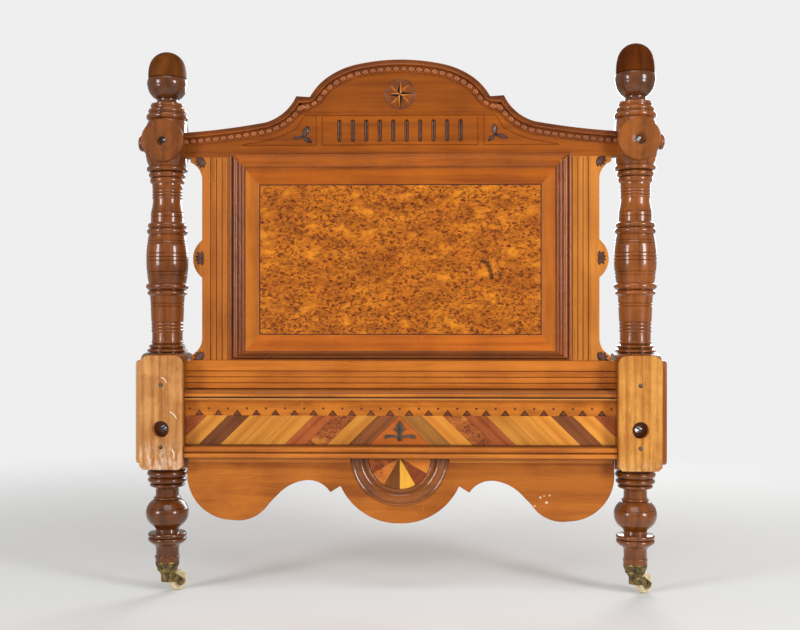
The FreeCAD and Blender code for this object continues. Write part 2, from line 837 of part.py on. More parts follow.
for which, side in SIDES.items():
    title = which.title()
    node(which + "_castor_cup", place(make_cup(title + "Cup"), x=post_half * side, y=axis_y))
    node(which + "_castor_horn", turn_castor(make_horn(title + "Horn"), which, side))
    node(which + "_castor_axle", turn_castor(make_axle(title + "Axle"), which, side))
    node(which + "_castor_wheel", turn_castor(make_wheel(title + "Wheel"), which, side))


# The crest board. Its outline's free points are shares of the sizes named beside them.

ARCH_HAUNCH_SHARES = (0.788, 0.557)   # of arch_half and arch_height
ARCH_CROWN_SHARES = (0.475, 0.877)    # of arch_half and arch_height
ARCH_LOWER_RISE_SHARE = 0.045         # of arch_height
ARCH_UPPER_RISE_SHARE = 0.038         # of arch_height
OGEE_BREAK_SHARES = (0.275, 0.723)    # of the run and the fall from shoulder to end
OGEE_UPPER_RISE_SHARE = 0.124         # of the fall
OGEE_LOWER_RISE_SHARE = 0.034         # of the fall


def crest_outline(foot, end_half):
    """The crest board's outline, down to a foot and out to its ends."""
    shoulder = crest_foot + S.shoulder_height
    arch_foot = shoulder - S.shoulder_drop
    arch_top = arch_foot + S.arch_height
    end_top = crest_foot + S.crest_end_height
    fall = shoulder - end_top
    run = crest_half - shoulder_half
    haunch_x = S.arch_half * ARCH_HAUNCH_SHARES[0]
    haunch_z = arch_foot + S.arch_height * ARCH_HAUNCH_SHARES[1]
    crown_x = S.arch_half * ARCH_CROWN_SHARES[0]
    crown_z = arch_foot + S.arch_height * ARCH_CROWN_SHARES[1]
    break_x = shoulder_half + run * OGEE_BREAK_SHARES[0]
    break_z = shoulder - fall * OGEE_BREAK_SHARES[1]
    upper_rise = -(fall * OGEE_UPPER_RISE_SHARE)
    lower_rise = -(fall * OGEE_LOWER_RISE_SHARE)
    arch_lower_rise = S.arch_height * ARCH_LOWER_RISE_SHARE
    arch_upper_rise = S.arch_height * ARCH_UPPER_RISE_SHARE
    wider = end_half is not crest_half
    points = [(-end_half, foot), (end_half, foot)]
    if wider:
        points.append((end_half, end_top))
    points += [(crest_half, end_top, lower_rise), (break_x, break_z, upper_rise),
               (shoulder_half, shoulder), (S.arch_half, arch_foot, arch_lower_rise),
               (haunch_x, haunch_z, arch_upper_rise),
               (crown_x, crown_z, arch_top - crown_z), (-crown_x, crown_z, arch_upper_rise),
               (-haunch_x, haunch_z, arch_lower_rise), (-S.arch_half, arch_foot),
               (-shoulder_half, shoulder, upper_rise), (-break_x, break_z, lower_rise),
               (-crest_half, end_top)]
    if wider:
        points.append((-end_half, end_top))
    return points


crest = plate("CrestBlank", crest_outline(crest_foot, crest_half), S.board_reach, board_back)

# flutes, cut with round ends into the front of the board
flute_half = S.flute_width / 2
flute_foot = crest_foot + S.flute_lift
first_flute = S.flute_pitch * ((FLUTE_COUNT - 1) / -2)
flute_cutters = []
for number in range(FLUTE_COUNT):
    middle = first_flute + S.flute_pitch * number
    spot = {"x": middle, "y": axis_y - S.board_reach}
    flute_cutters.append(rod(f"Flute{number}", flute_half, S.flute_height - S.flute_width,
                             z=flute_foot + flute_half, **spot))
    for end, lift in (("Foot", flute_half), ("Top", S.flute_height - flute_half)):
        ball = doc.addObject("Part::Sphere", f"Flute{number}{end}")
        drive(ball, "Radius", flute_half)
        flute_cutters.append(place(ball, z=flute_foot + lift, **spot))
rosette_height = crest_foot + S.rosette_lift
rosette_seat = rod("RosetteSeat", S.rosette_radius, overrun,
                   y=axis_y - S.board_reach + S.inlay_thick, z=rosette_height, rotation=FORWARD)
crest_cut = cut("CrestCut", crest, flute_cutters + [rosette_seat])
node("crest_board", with_tenons("Crest", crest_cut, "crest"))


def star_points():
    """A star of four long points, about the rosette's centre."""
    tip = S.rosette_radius - S.fit_gap
    waist = S.star_waist
    z = rosette_height
    return [(tip, z), (waist, z + waist), (0, z + tip), (-waist, z + waist),
            (-tip, z), (-waist, z - waist), (0, z - tip), (waist, z - waist)]


inlay_back = S.board_reach - S.inlay_thick
star = plate("Star", star_points(), S.board_reach, inlay_back)
star_seat = plate("StarSeat", star_points(), S.board_reach + S.inlay_thick,
                  inlay_back - S.inlay_thick)
rosette = rod("RosetteBlank", S.rosette_radius - S.fit_gap, S.inlay_thick,
              y=axis_y - inlay_back, z=rosette_height, rotation=FORWARD)
node("rosette_disc", cut("Rosette", rosette, [star_seat]))
node("rosette_star", star)


# The moulding along the crest's edge, and the row of beads inside it: both are
# bands of the crest's outline, found by drawing that outline inwards

def crest_band(name, outer_inset, inner_inset, thick):
    """A band that follows the crest's top, between two distances from its edge."""
    low = crest_foot - overrun
    faces = []
    for label, inset in (("Outer", outer_inset), ("Inner", inner_inset)):
        body = new_body(name + label + "Line")
        sketch = sketch_outline(body, "XZ_Plane", crest_outline(low, crest_half + overrun))
        face = doc.addObject("Part::Face", name + label + "Face")
        face.Sources = [sketch]
        if inset is not None:
            drawn_in = doc.addObject("Part::Offset2D", name + label + "Inset")
            drawn_in.Source = face
            drawn_in.Join = "Tangent"
            drive(drawn_in, "Value", -inset)
            face = drawn_in
        solid = doc.addObject("Part::Extrusion", name + label + "Solid")
        solid.Base = face
        solid.DirMode = "Custom"
        solid.Dir = Vector(0, -1, 0)
        solid.Solid = True
        drive(solid, "LengthFwd", thick)
        faces.append(solid)
    band = cut(name + "Band", faces[0], [faces[1]])
    place(band, y=axis_y - S.board_reach)
    frame_box = box(name + "Limits", (-crest_half, axis_y - overrun, crest_foot),
                    (crest_half, axis_y + overrun, crest_foot + overrun * 3))
    return overlap(name, band, frame_box)


node("crest_edge_moulding", crest_band("CrestEdge", None, S.edge_width, S.edge_thick))
node("crest_bead_row", crest_band("CrestBeads", S.edge_width, S.edge_width + S.bead_width,
                                  S.bead_thick))


# A leaf of three lobes, carved apart and laid on the board, as shares of its size
LEAF_SHARES = [
    (0.00, -0.72, 0.10), (0.42, -0.60, 0.20), (0.98, -0.42, 0.16), (0.40, 0.02, 0.12),
    (0.30, 0.28, 0.14), (0.00, 0.95, 0.14), (-0.30, 0.28, 0.12), (-0.40, 0.02, 0.16),
    (-0.98, -0.42, 0.20), (-0.42, -0.60, 0.10),
]

for which, side in SIDES.items():
    leaf = [(S.leaf_spacing / 2 * side + S.leaf_size * share[0] * side,
             crest_foot + S.leaf_lift + S.leaf_size * share[1], S.leaf_size * share[2])
            for share in LEAF_SHARES]
    node(which + "_crest_leaf", plate(which.title() + "Leaf", leaf, S.leaf_reach, S.board_reach))


# The stiles, with an ear at the top, at the foot and halfway up, and reeds

def stile_outline(side):
    inner, outer = stile_inner * side, stile_outer * side
    tip = (stile_outer + S.ear_reach) * side
    middle = (rail_top + crest_foot) / 2
    half_ear = S.side_ear_height / 2
    hollow = -(S.ear_reach * 0.3)
    return [(inner, rail_top), (tip, rail_top), (tip, rail_top + S.ear_lip, hollow),
            (outer, rail_top + S.ear_height), (outer, middle - half_ear, S.side_ear_reach),
            (outer, middle + half_ear), (outer, crest_foot - S.ear_height, hollow),
            (tip, crest_foot - S.ear_lip), (tip, crest_foot), (inner, crest_foot)]


for which, side in SIDES.items():
    blank = plate(which.title() + "StileBlank", stile_outline(side), S.board_reach, board_back)
    grooves = []
    for number in range(STILE_REED_COUNT):
        middle = stile_outer - S.stile_reed_inset - S.stile_reed_pitch * number
        ends = [(middle - S.reed_groove / 2) * side, (middle + S.reed_groove / 2) * side][::side]
        grooves.append(box(
            f"{which}Reed{number}",
            (ends[0], axis_y - S.board_reach - S.reed_depth, rail_top - S.reed_depth),
            (ends[1], axis_y - S.board_reach + S.reed_depth, crest_foot - S.ear_lip)))
    node(which + "_stile", cut(which.title() + "Stile", blank, grooves))

rail = box("RailBlank", (-clear_half, axis_y - S.rail_reach, rail_foot),
           (clear_half, axis_y - board_back, rail_top))
rail_grooves = []
for number in range(RAIL_REED_COUNT):
    foot = rail_foot + S.rail_reed_lift + S.rail_reed_pitch * number - S.reed_groove / 2
    rail_grooves.append(box(
        f"RailReed{number}", (-clear_half - overrun, axis_y - S.rail_reach - S.reed_depth, foot),
        (clear_half + overrun, axis_y - S.rail_reach + S.reed_depth, foot + S.reed_groove)))
rail_cut = cut("RailCut", rail, rail_grooves)
node("reeded_rail", with_tenons("Rail", rail_cut, "rail"))


# The panel: a ground between the stiles, veneer in its middle, and round the
# veneer sloping borders and a bold moulding, both mitred at the corners

node("panel_ground", box("PanelGround",
                         (-stile_inner, axis_y - S.ground_reach, rail_top),
                         (stile_inner, axis_y - S.ground_reach + S.ground_thick, crest_foot)))
node("burl_veneer", box("BurlVeneer", (-veneer_half, axis_y - S.veneer_reach, veneer_foot),
                        (veneer_half, axis_y - S.ground_reach, veneer_top)))

# each edge of a frame: the corner shares that pick its outer and inner ends
EDGES = {
    "top": ((-1, "top"), (1, "top")),
    "bottom": ((-1, "foot"), (1, "foot")),
    "left": ((-1, "foot"), (-1, "top")),
    "right": ((1, "foot"), (1, "top")),
}


def mitred(name, edge, outer, inner, section):
    """One side of a frame: a section that runs along it, between two mitres.

    outer and inner are each a half width, a foot and a top. The section is in
    distance in from the outer edge, and reach.
    """
    heights = {"foot": 1, "top": 2}
    (side_a, end_a), (side_b, end_b) = EDGES[edge]
    front = [(outer[0] * side_a, outer[heights[end_a]]), (outer[0] * side_b, outer[heights[end_b]]),
             (inner[0] * side_b, inner[heights[end_b]]), (inner[0] * side_a, inner[heights[end_a]])]
    blank = plate(name + "Mitres", front, S.cornice_reach, as_size(0))
    if edge in ("left", "right"):
        side = 1 if edge == "right" else -1
        points = [((outer[0] - p[0]) * side, *p[1:]) for p in section]
        run = upright(name + "Run", points, outer[1], outer[2])
    elif edge == "top":
        run = bar(name + "Run", [(p[1], outer[2] - p[0], *p[2:]) for p in section], outer[0])
    else:
        run = bar(name + "Run", [(p[1], outer[1] + p[0], *p[2:]) for p in section], outer[0])
    return overlap(name, blank, run)


# the moulding's face, from its outer to its inner edge: shares of its width, and
# of how far it stands out of the boards
MOULDING_SHARES = [
    (0.00, 0.30, 0.42), (0.46, 0.86), (0.46, 0.60), (0.54, 0.60), (0.54, 0.62, 0.30),
    (0.84, 0.62), (0.84, 0.20),
]


def moulding_section(width, lap):
    """A moulding that laps over the board round the panel and beds on the ground."""
    lip = as_size(S.board_reach)
    stand = S.moulding_reach - S.board_reach
    points = [(0, lip)]
    for share in MOULDING_SHARES:
        point = [width * share[0], lip + stand * share[1]]
        if len(share) > 2:
            point.append(stand * share[2])
        points.append(tuple(point))
    points += [(width, S.border_outer_reach + S.reed_depth / 2), (width, S.ground_reach)]
    points += [(lap, S.ground_reach), (lap, lip)]
    return points


def bottom_section(width):
    """The same moulding where it stands wholly on the ground."""
    section = moulding_section(width, width)
    return [(0, S.ground_reach)] + section[:-2]


frame_outer = (frame_half, frame_foot, frame_top)
frame_inner = (sight_half, sight_foot, sight_top)
sections = {
    "top": moulding_section(S.top_moulding, S.top_lap),
    "bottom": bottom_section(S.bottom_moulding),
    "left": moulding_section(S.side_moulding, S.side_lap),
    "right": moulding_section(S.side_moulding, S.side_lap),
}
for edge in EDGES:
    length = mitred(edge.title() + "Moulding", edge, frame_outer, frame_inner, sections[edge])
    if edge in ("top", "bottom"):
        # their ends are cut back, behind, where they lap over the stiles
        laps = [box(f"{edge.title()}{which.title()}Lap",
                    (ends[0], axis_y - S.board_reach, frame_foot),
                    (ends[1], axis_y, frame_top))
                for which, ends in (("left", (-frame_half, -stile_inner)),
                                    ("right", (stile_inner, frame_half)))]
        length = cut(edge.title() + "MouldingFitted", length, laps)
    node(f"panel_moulding_{edge}", length)

border_widths = {"top": S.top_border, "bottom": S.bottom_border,
                 "left": S.side_border, "right": S.side_border}
veneer_corners = (veneer_half, veneer_foot, veneer_top)
for edge in EDGES:
    width = border_widths[edge]
    section = [(0, S.ground_reach), (0, S.border_outer_reach), (width, S.border_inner_reach),
               (width, S.ground_reach)]
    node(f"panel_border_{edge}", mitred(edge.title() + "Border", edge, frame_inner,
                                        veneer_corners, section))


# The box rail, and what is laid on its front

box_rail = box("BoxBlank", (-clear_half, axis_y - S.box_reach, box_foot),
               (clear_half, axis_y - board_back, box_top))
node("box_rail", with_tenons("Box", box_rail, "box"))

line_foot = frieze_top + S.line_lift
line_top = line_foot + S.line_height
bead_foot = line_top + S.reed_groove / 4
bead_top = box_top - S.line_lift
cornice_step = S.line_height
node("cornice_moulding", bar("Cornice", [
    (S.box_reach, frieze_top), (S.cornice_reach - cornice_step * 2, frieze_top),
    (S.cornice_reach - cornice_step, line_foot - cornice_step / 2),
    (S.cornice_reach, line_foot - cornice_step / 2), (S.cornice_reach, line_foot),
    (S.cornice_reach - S.line_depth, line_foot), (S.cornice_reach - S.line_depth, line_top),
    (S.cornice_reach, line_top), (S.cornice_reach, bead_foot, S.reed_rise / 2),
    (S.cornice_reach, bead_top), (S.cornice_reach - cornice_step, bead_top),
    (S.cornice_reach - cornice_step, box_top), (S.box_reach, box_top)], clear_half))
node("ebony_line", box("EbonyLine", (-clear_half, axis_y - S.cornice_reach, line_foot),
                       (clear_half, axis_y - S.cornice_reach + S.line_depth, line_top)))

# the frieze is a strip with a row of three-cornered notches along its foot, and
# a drilled dot between each two
frieze = box("FriezeBlank", (-clear_half, axis_y - band_reach, band_top),
             (clear_half, axis_y - S.box_reach, frieze_top))
frieze_cutters = []
for number in range(NOTCH_COUNT):
    middle = S.notch_pitch * (number - (NOTCH_COUNT - 1) / 2)
    half = S.notch_width / 2
    frieze_cutters.append(plate(f"Notch{number}", [
        (middle - half, band_top), (middle + half, band_top), (middle, band_top + S.notch_height)],
        band_reach + S.notch_depth, band_reach - S.notch_depth))
for number in range(PEG_COUNT):
    middle = S.notch_pitch * (number - (PEG_COUNT - 1) / 2)
    frieze_cutters.append(rod(f"Dot{number}", S.peg_radius, S.notch_depth * 2, x=middle,
                              y=axis_y - band_reach + S.notch_depth, z=band_top + S.peg_lift,
                              rotation=FORWARD))
node("frieze_strip", cut("Frieze", frieze, frieze_cutters))

# the inlaid band: slanting pieces of four woods that lean in to the middle.
# Each side is listed from the middle outwards.
BAND_WOODS = {
    "left": ["brown", "light", "burl", "red", "light", "light", "light", "brown", "light", "red"],
    "right": ["brown", "light", "burl", "red", "light", "light", "light", "brown", "light", "red"],
}
piece_width = clear_half / PIECES_A_SIDE
band_pieces = {"light": [], "brown": [], "red": [], "burl": []}
for which, side in SIDES.items():
    for number, wood in enumerate(BAND_WOODS[which]):
        near = piece_width * number
        far = piece_width * (number + 1)
        outline = [(near * side, band_top), (far * side, band_top),
                   ((far + S.triangle_half) * side, band_foot),
                   ((near + S.triangle_half) * side, band_foot)]
        band_pieces[wood].append(plate(f"{which.title()}Piece{number}", outline, band_reach,
                                       S.box_reach))
for wood, pieces in band_pieces.items():
    # the outermost pieces are cut off where the posts stand
    limits = box(f"{wood.title()}Limits", (-clear_half, axis_y - band_reach, band_foot),
                 (clear_half, axis_y - S.box_reach, band_top))
    strips = grouped(f"{wood.title()}Strips", pieces)
    node(f"marquetry_{wood}", overlap(f"Marquetry{wood.title()}", strips, limits))
node("marquetry_centre", plate("CentreTriangle", [
    (-S.triangle_half, band_foot), (S.triangle_half, band_foot), (0, band_top)],
    band_reach, S.box_reach))

# the sprig on the middle triangle, as shares of its half width and its height
SPRIG_SHARES = [
    (0.10, 0.00), (0.14, 0.14, 0.04), (0.55, 0.20, 0.03), (1.00, 0.10, 0.05), (0.95, 0.30, 0.03),
    (0.50, 0.32, 0.03), (0.10, 0.26), (0.12, 0.40, 0.02), (0.42, 0.62, 0.03), (0.20, 0.64),
    (0.22, 0.80, 0.05), (0.00, 1.00, 0.05),
]
sprig_foot = band_foot + S.sprig_lift
right_edge = [(S.sprig_half * x, sprig_foot + S.sprig_height * z) for x, z, *_ in SPRIG_SHARES]
left_edge = [(-S.sprig_half * x, sprig_foot + S.sprig_height * z)
             for x, z, *_ in SPRIG_SHARES[-2::-1]]
node("sprig", plate("Sprig", right_edge + left_edge, band_reach + S.sprig_thick, band_reach))

reed_split = box_foot + S.lower_moulding_height * 0.45
quirk = S.reed_groove / 4
node("lower_moulding", bar("LowerMoulding", [
    (S.box_reach, box_foot), (S.lower_moulding_reach, box_foot, S.reed_rise),
    (S.lower_moulding_reach, reed_split - quirk), (S.lower_moulding_reach - quirk, reed_split),
    (S.lower_moulding_reach - quirk, reed_split + quirk, S.reed_rise),
    (S.lower_moulding_reach - quirk, band_foot - quirk),
    (S.lower_moulding_reach - S.reed_rise, band_foot), (S.box_reach, band_foot)], clear_half))


# The apron, sawn to a shape of lobes, cusps and hollows. Its right half is given
# from the side to the middle: shares of its half length and of its height, and
# the rise as a share of the height.

APRON_SHARES = [
    (1.000, 0.160, 0.241), (0.786, 0.960, 0.090), (0.616, 0.710), (0.560, 0.525, -0.035),
    (0.439, 0.348, -0.056), (0.326, 0.529), (0.278, 0.434, 0.160), (0.000, 1.000, 0.160),
    (-0.278, 0.434), (-0.326, 0.529, -0.056), (-0.439, 0.348, -0.035), (-0.560, 0.525),
    (-0.616, 0.710, 0.090), (-0.786, 0.960, 0.241), (-1.000, 0.160),
]
apron_half = clear_half - S.apron_side_gap
apron_outline = [(-apron_half, box_foot), (apron_half, box_foot)]
for share in APRON_SHARES:
    point = [apron_half * share[0], box_foot - S.apron_height * share[1]]
    if share[0] == 0:
        point[0] = as_size(0)
    if len(share) > 2:
        point.append(S.apron_height * share[2])
    apron_outline.append(tuple(point))
node("apron_board", plate("Apron", apron_outline, S.apron_reach,
                          S.apron_reach - S.apron_thick))

# the half-round moulding round the fan, from its inner to its outer edge: shares
# of its width and of its rise
HALF_ROUND_SHARES = [
    (0.00, 0.60, 0.35), (0.22, 0.60), (0.24, 0.20), (0.28, 0.20), (0.30, 0.70, 0.50),
    (0.94, 0.50), (1.00, 0.20),
]
half_round = new_body("HalfRound")
ring_width = S.half_round_outer - S.half_round_inner
ring_points = [(S.half_round_inner, 0)]
for share in HALF_ROUND_SHARES:
    point = [S.half_round_inner + ring_width * share[0], -(S.half_round_rise * share[1])]
    if len(share) > 2:
        point.append(S.half_round_rise * share[2])
    ring_points.append(tuple(point))
ring_points.append((S.half_round_outer, 0))
ring_sketch = sketch_outline(half_round, "XY_Plane", ring_points)
ring = half_round.newObject("PartDesign::Revolution", "HalfRoundTurning")
ring.Profile = ring_sketch
ring.ReferenceAxis = (ring_sketch, ["V_Axis"])
ring.Angle = 180
node("half_round_moulding", place(half_round, y=axis_y - S.apron_reach, z=box_foot))

# the fan's six segments, by their woods from the left
FAN_WOODS = ["dark", "warm", "dark", "light", "warm", "light"]
fan_pieces = {"dark": [], "warm": [], "light": []}
fan_step = 180 / FAN_COUNT
for number, wood in enumerate(FAN_WOODS):
    segment = doc.addObject("Part::Cylinder", f"FanSegment{number}")
    drive(segment, "Radius", S.fan_radius)
    drive(segment, "Height", S.fan_thick)
    segment.Angle = fan_step
    turn = FORWARD * Rotation(Vector(0, 0, 1), 180 + fan_step * number)
    place(segment, y=axis_y - S.apron_reach, z=box_foot, rotation=turn)
    fan_pieces[wood].append(segment)
for wood, pieces in fan_pieces.items():
    node(f"fan_{wood}", grouped(f"Fan{wood.title()}", pieces))


# Work the document out, look for anything that failed, and write the pieces

doc.recompute()
failed = [thing.Name for thing in doc.Objects
          if "Invalid" in thing.State or "Error" in thing.State]
if failed:
    raise RuntimeError("objects that failed: " + ", ".join(failed))

os.makedirs("parts", exist_ok=True)
for label, thing in NODES.items():
    shape = thing.Shape
    if shape.isNull() or not shape.isValid() or not shape.Solids:
        raise RuntimeError(f"{label} has no valid solid")
for label, thing in NODES.items():
    shape = thing.Shape
    shape.exportStep(f"parts/{label}.step")
    corners = shape.BoundBox
    print(f"{label:24} {len(shape.Solids):3} solids  {shape.Volume / 1000:9.2f} cm3  "
          f"X {corners.XMin:8.2f} {corners.XMax:8.2f}  Y {corners.YMin:7.2f} {corners.YMax:7.2f}  "
          f"Z {corners.ZMin:7.2f} {corners.ZMax:7.2f}")
print(len(NODES), "pieces")
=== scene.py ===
# %% [markdown]
# The head end of an old wooden cot, dressed over its CAD frame. The end has two turned
# posts on castors, and between them a board with a shaped crest, a panel of burl veneer
# and a band of inlaid woods. The CAD gives every piece its place. This script gives each
# one its crisp or rounded edges, its carving, its grain and its years of wear.
#
# The frame comes in first, and each node's box can be read from it.

# %% Load the CAD frame

import math

import bmesh
import bpy
from mathutils import Matrix, Vector, noise


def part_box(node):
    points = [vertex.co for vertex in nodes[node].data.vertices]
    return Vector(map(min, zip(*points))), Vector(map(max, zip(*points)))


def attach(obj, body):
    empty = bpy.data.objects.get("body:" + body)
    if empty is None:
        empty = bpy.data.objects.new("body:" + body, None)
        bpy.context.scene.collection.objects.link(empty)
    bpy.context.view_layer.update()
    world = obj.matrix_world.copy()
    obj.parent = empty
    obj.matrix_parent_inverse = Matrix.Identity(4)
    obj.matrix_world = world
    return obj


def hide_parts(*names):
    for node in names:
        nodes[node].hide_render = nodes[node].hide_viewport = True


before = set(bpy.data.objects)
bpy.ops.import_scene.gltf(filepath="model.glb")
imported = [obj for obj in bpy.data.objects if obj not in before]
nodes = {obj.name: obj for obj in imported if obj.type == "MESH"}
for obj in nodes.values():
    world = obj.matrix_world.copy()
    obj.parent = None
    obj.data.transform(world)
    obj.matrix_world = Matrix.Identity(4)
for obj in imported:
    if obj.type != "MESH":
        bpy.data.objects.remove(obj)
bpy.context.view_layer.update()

# %% [markdown]
# Every length of a shape below is written in millimetres, as a joiner would give it, and
# turned into metres when the mesh is made. Sizes in the finishes and places in the studio
# stay in metres, as Blender's nodes and lamps take them. The posts' axis and the front of
# each board are read from the CAD nodes, so that a piece built here lands where the frame
# has it.

# %% Places read from the frame

MM = 0.001


def in_mm(node):
    """The lowest and highest corner of a CAD node, in millimetres."""
    low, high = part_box(node)
    return low / MM, high / MM


cup_low, cup_high = in_mm("right_castor_cup")
POST_X = (cup_low.x + cup_high.x) / 2
AXIS_Y = (cup_low.y + cup_high.y) / 2
BOARD_FRONT = in_mm("left_stile")[0].y
SIDES = {"left": -1, "right": 1}
print(f"post axis at {POST_X:.1f}, {AXIS_Y:.2f} mm, boards in front at {BOARD_FRONT:.2f} mm")

# %% [markdown]
# Wood turners and joiners draw a moulding as a profile: straight runs, beads that bulge
# out and hollows that curve in. Here a profile is a list of rows, each with a place and,
# where the way to the next row is an arc, its rise. This helper spells the arcs out as
# short steps. Curves with handles could do the same, but rows are easier to read back.

# %% Profiles made of rows


def arc(start, end, rise, steps):
    """Points after start, up to end, on an arc that bulges to the right of the way."""
    start, end = Vector(start), Vector(end)
    half = (end - start).length / 2
    if abs(rise) < 1e-6 or half < 1e-6:
        return [tuple(end)]
    along = (end - start).normalized()
    right = Vector((along.y, -along.x))
    reach = 2 * math.atan(abs(rise) / half)
    radius = half / math.sin(reach)
    sign = 1 if rise > 0 else -1
    centre = (start + end) / 2 + right * (rise - sign * radius)
    points = []
    for step in range(1, steps + 1):
        angle = reach * (2 * step / steps - 1)
        offset = right * (sign * math.cos(angle)) + along * math.sin(angle)
        points.append(tuple(centre + offset * radius))
    return points


def spelled_out(rows, steps=8, closed=False):
    """A profile's rows as plain points, with its arcs in short steps."""
    points = [tuple(rows[0][:2])]
    following = rows[1:] + (rows[:1] if closed else [])
    for row, after in zip(rows, following):
        rise = row[2] if len(row) > 2 else 0
        points += arc(row[:2], after[:2], rise, steps)
    return points[:-1] if closed else points


def hollows(points, window=3.0, depth=2.0):
    """How deep each point of a profile lies in a quirk, from 0 to 1.

    A point is (out, along): dirt and old polish stay where its neighbours on both sides
    stand out further than it does.
    """
    found = []
    for out, along in points:
        before = max(o for o, a in points if -window <= a - along <= 0)
        after = max(o for o, a in points if 0 <= a - along <= window)
        found.append(min(1.0, max(0.0, (min(before, after) - out) / depth)))
    return found


print("an arc of rise 2 over 10 mm:", [tuple(round(c, 1) for c in p)
                                       for p in arc((0, 0), (10, 0), 2, 4)])

# %% [markdown]
# Each shape goes through one small workshop. A mesh is made from its points and faces,
# doubles are merged, faces are turned outwards, and edges sharper than an angle stay
# crisp while the rest shade smoothly. Depth in the quirks is kept on each point as an
# attribute named hollow, which the finishes use to lay dark wax in the grooves; on a few
# pieces the same marks also carry painted shade. Modifiers are run at once and their
# result kept, so that no piece carries a live one.

# %% Turn points and faces into a finished mesh


def as_mesh(name, points, faces, marks=None):
    """A mesh in metres from points in millimetres, with its hollow marks."""
    mesh = bpy.data.meshes.new(name)
    mesh.from_pydata([Vector(p) * MM for p in points], [], faces)
    layer = mesh.attributes.new("hollow", "FLOAT", "POINT")
    layer.data.foreach_set("value", marks or [0.0] * len(points))
    return mesh


def tidy(mesh, angle=32, outward=True):
    """Merge doubles, turn the faces outwards, and keep only the sharp edges sharp."""
    shape = bmesh.new()
    shape.from_mesh(mesh)
    bmesh.ops.remove_doubles(shape, verts=shape.verts, dist=1e-6)
    bmesh.ops.dissolve_degenerate(shape, edges=shape.edges, dist=1e-7)
    if outward:
        bmesh.ops.recalc_face_normals(shape, faces=shape.faces)
    shape.to_mesh(mesh)
    shape.free()
    mesh.shade_smooth()
    mesh.set_sharp_from_angle(angle=math.radians(angle))
    return mesh


def in_scene(name, data):
    """A new object in the scene, for a mesh, a lamp or a camera."""
    thing = bpy.data.objects.new(name, data)
    bpy.context.scene.collection.objects.link(thing)
    return thing


def baked(carrier):
    """The mesh that an object's modifiers make of it. The object itself goes."""
    graph = bpy.context.evaluated_depsgraph_get()
    made = bpy.data.meshes.new_from_object(carrier.evaluated_get(graph))
    bpy.data.objects.remove(carrier)
    return made


made_pieces = []


def piece(name, mesh, material, stands_for=(), body="cot_end"):
    """Put a finished mesh in the scene, on its body and in its finish."""
    mesh.materials.clear()
    mesh.materials.append(material)
    thing = in_scene(name, mesh)
    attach(thing, body)
    if stands_for:
        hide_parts(*stands_for)
    made_pieces.append(thing)


print("pieces so far:", len(made_pieces))

# %% [markdown]
# A lathe spins a profile about an axis. The Screw modifier would do that too, but making
# the rings by hand keeps the hollow marks and closes the poles with a single point.

# %% The lathe


def spun(name, points, stand=None, steps=96, marks=None, ring=False):
    """Spin (radius, height) points about Z, then stand the result up with a matrix."""
    marks = marks or hollows(points)
    corners, depths, rings = [], [], []
    for (radius, height), mark in zip(points, marks):
        count = 1 if radius < 1e-6 else steps
        rings.append((len(corners), count))
        for number in range(count):
            angle = 2 * math.pi * number / steps
            corners.append((radius * math.cos(angle), radius * math.sin(angle), height))
            depths.append(mark)
    faces = []
    following = rings[1:] + (rings[:1] if ring else [])
    for (low, low_count), (high, high_count) in zip(rings, following):
        for number in range(steps):
            after = (number + 1) % steps
            face = (low + number % low_count, low + after % low_count,
                    high + after % high_count, high + number % high_count)
            face = tuple(dict.fromkeys(face))
            if len(face) > 2:
                faces.append(face)
    mesh = as_mesh(name, corners, faces, depths)
    if stand is not None:
        mesh.transform(stand)
    return tidy(mesh)


def standing(x=0.0, y=0.0, z=0.0, tilt=None):
    """A matrix that takes a piece from its own axis to a place, in millimetres."""
    place = Matrix.Translation(Vector((x, y, z)) * MM)
    return place @ tilt.to_4x4() if tilt is not None else place


TO_FRONT = Matrix.Rotation(math.radians(90), 3, "X")
print("the lathe's tool for the front faces points to",
      [round(c) for c in TO_FRONT @ Vector((0, 0, 1))])

# %% [markdown]
# Many CAD pieces have the right shape and only lack the small round that a plane, a
# scraper or a hundred years of hands leave on an edge. For these the CAD mesh is copied,
# its loose triangles are merged, and a Bevel modifier rounds the edges. Large flat fronts
# are then shaded flat, because smooth shading would bend the light near their edges.

# %% Round the edges of a CAD piece


def cad_copy(node, flatten=True):
    """A merged copy of a CAD node's mesh, with flat faces in one piece."""
    shape = bmesh.new()
    shape.from_mesh(nodes[node].data)
    bmesh.ops.remove_doubles(shape, verts=shape.verts, dist=2e-6)
    if flatten:
        bmesh.ops.dissolve_limit(shape, angle_limit=math.radians(0.6), verts=shape.verts,
                                 edges=shape.edges)
    bmesh.ops.recalc_face_normals(shape, faces=shape.faces)
    mesh = bpy.data.meshes.new(node + "_copy")
    shape.to_mesh(mesh)
    shape.free()
    if "custom_normal" in mesh.attributes:
        mesh.attributes.remove(mesh.attributes["custom_normal"])
    return mesh


LARGE_FRONT = 30.0


def level_fronts(mesh):
    """Shade the large flat fronts flat, so that no light swims over them."""
    for face in mesh.polygons:
        if abs(face.normal.y) > 0.9999 and face.area > LARGE_FRONT * MM * MM:
            face.use_smooth = False
    return mesh


def softened(mesh, width=0.6, segments=2, limit=40):
    """A mesh with its edges rounded where they are sharper than a limit."""
    carrier = in_scene("Blank", mesh)
    bevel = carrier.modifiers.new("Bevel", "BEVEL")
    bevel.width, bevel.segments = width * MM, segments
    bevel.limit_method, bevel.angle_limit = "ANGLE", math.radians(limit)
    bevel.use_clamp_overlap = False
    return level_fronts(tidy(baked(carrier), angle=40, outward=False))


def rounded(node, width=0.5, segments=2):
    """A CAD node's shape with rounded edges."""
    return softened(cad_copy(node), width, segments, limit=35)


sample = cad_copy("left_rail_pad")
print("a pad's copy has", len(sample.vertices), "points in", len(sample.polygons), "faces")

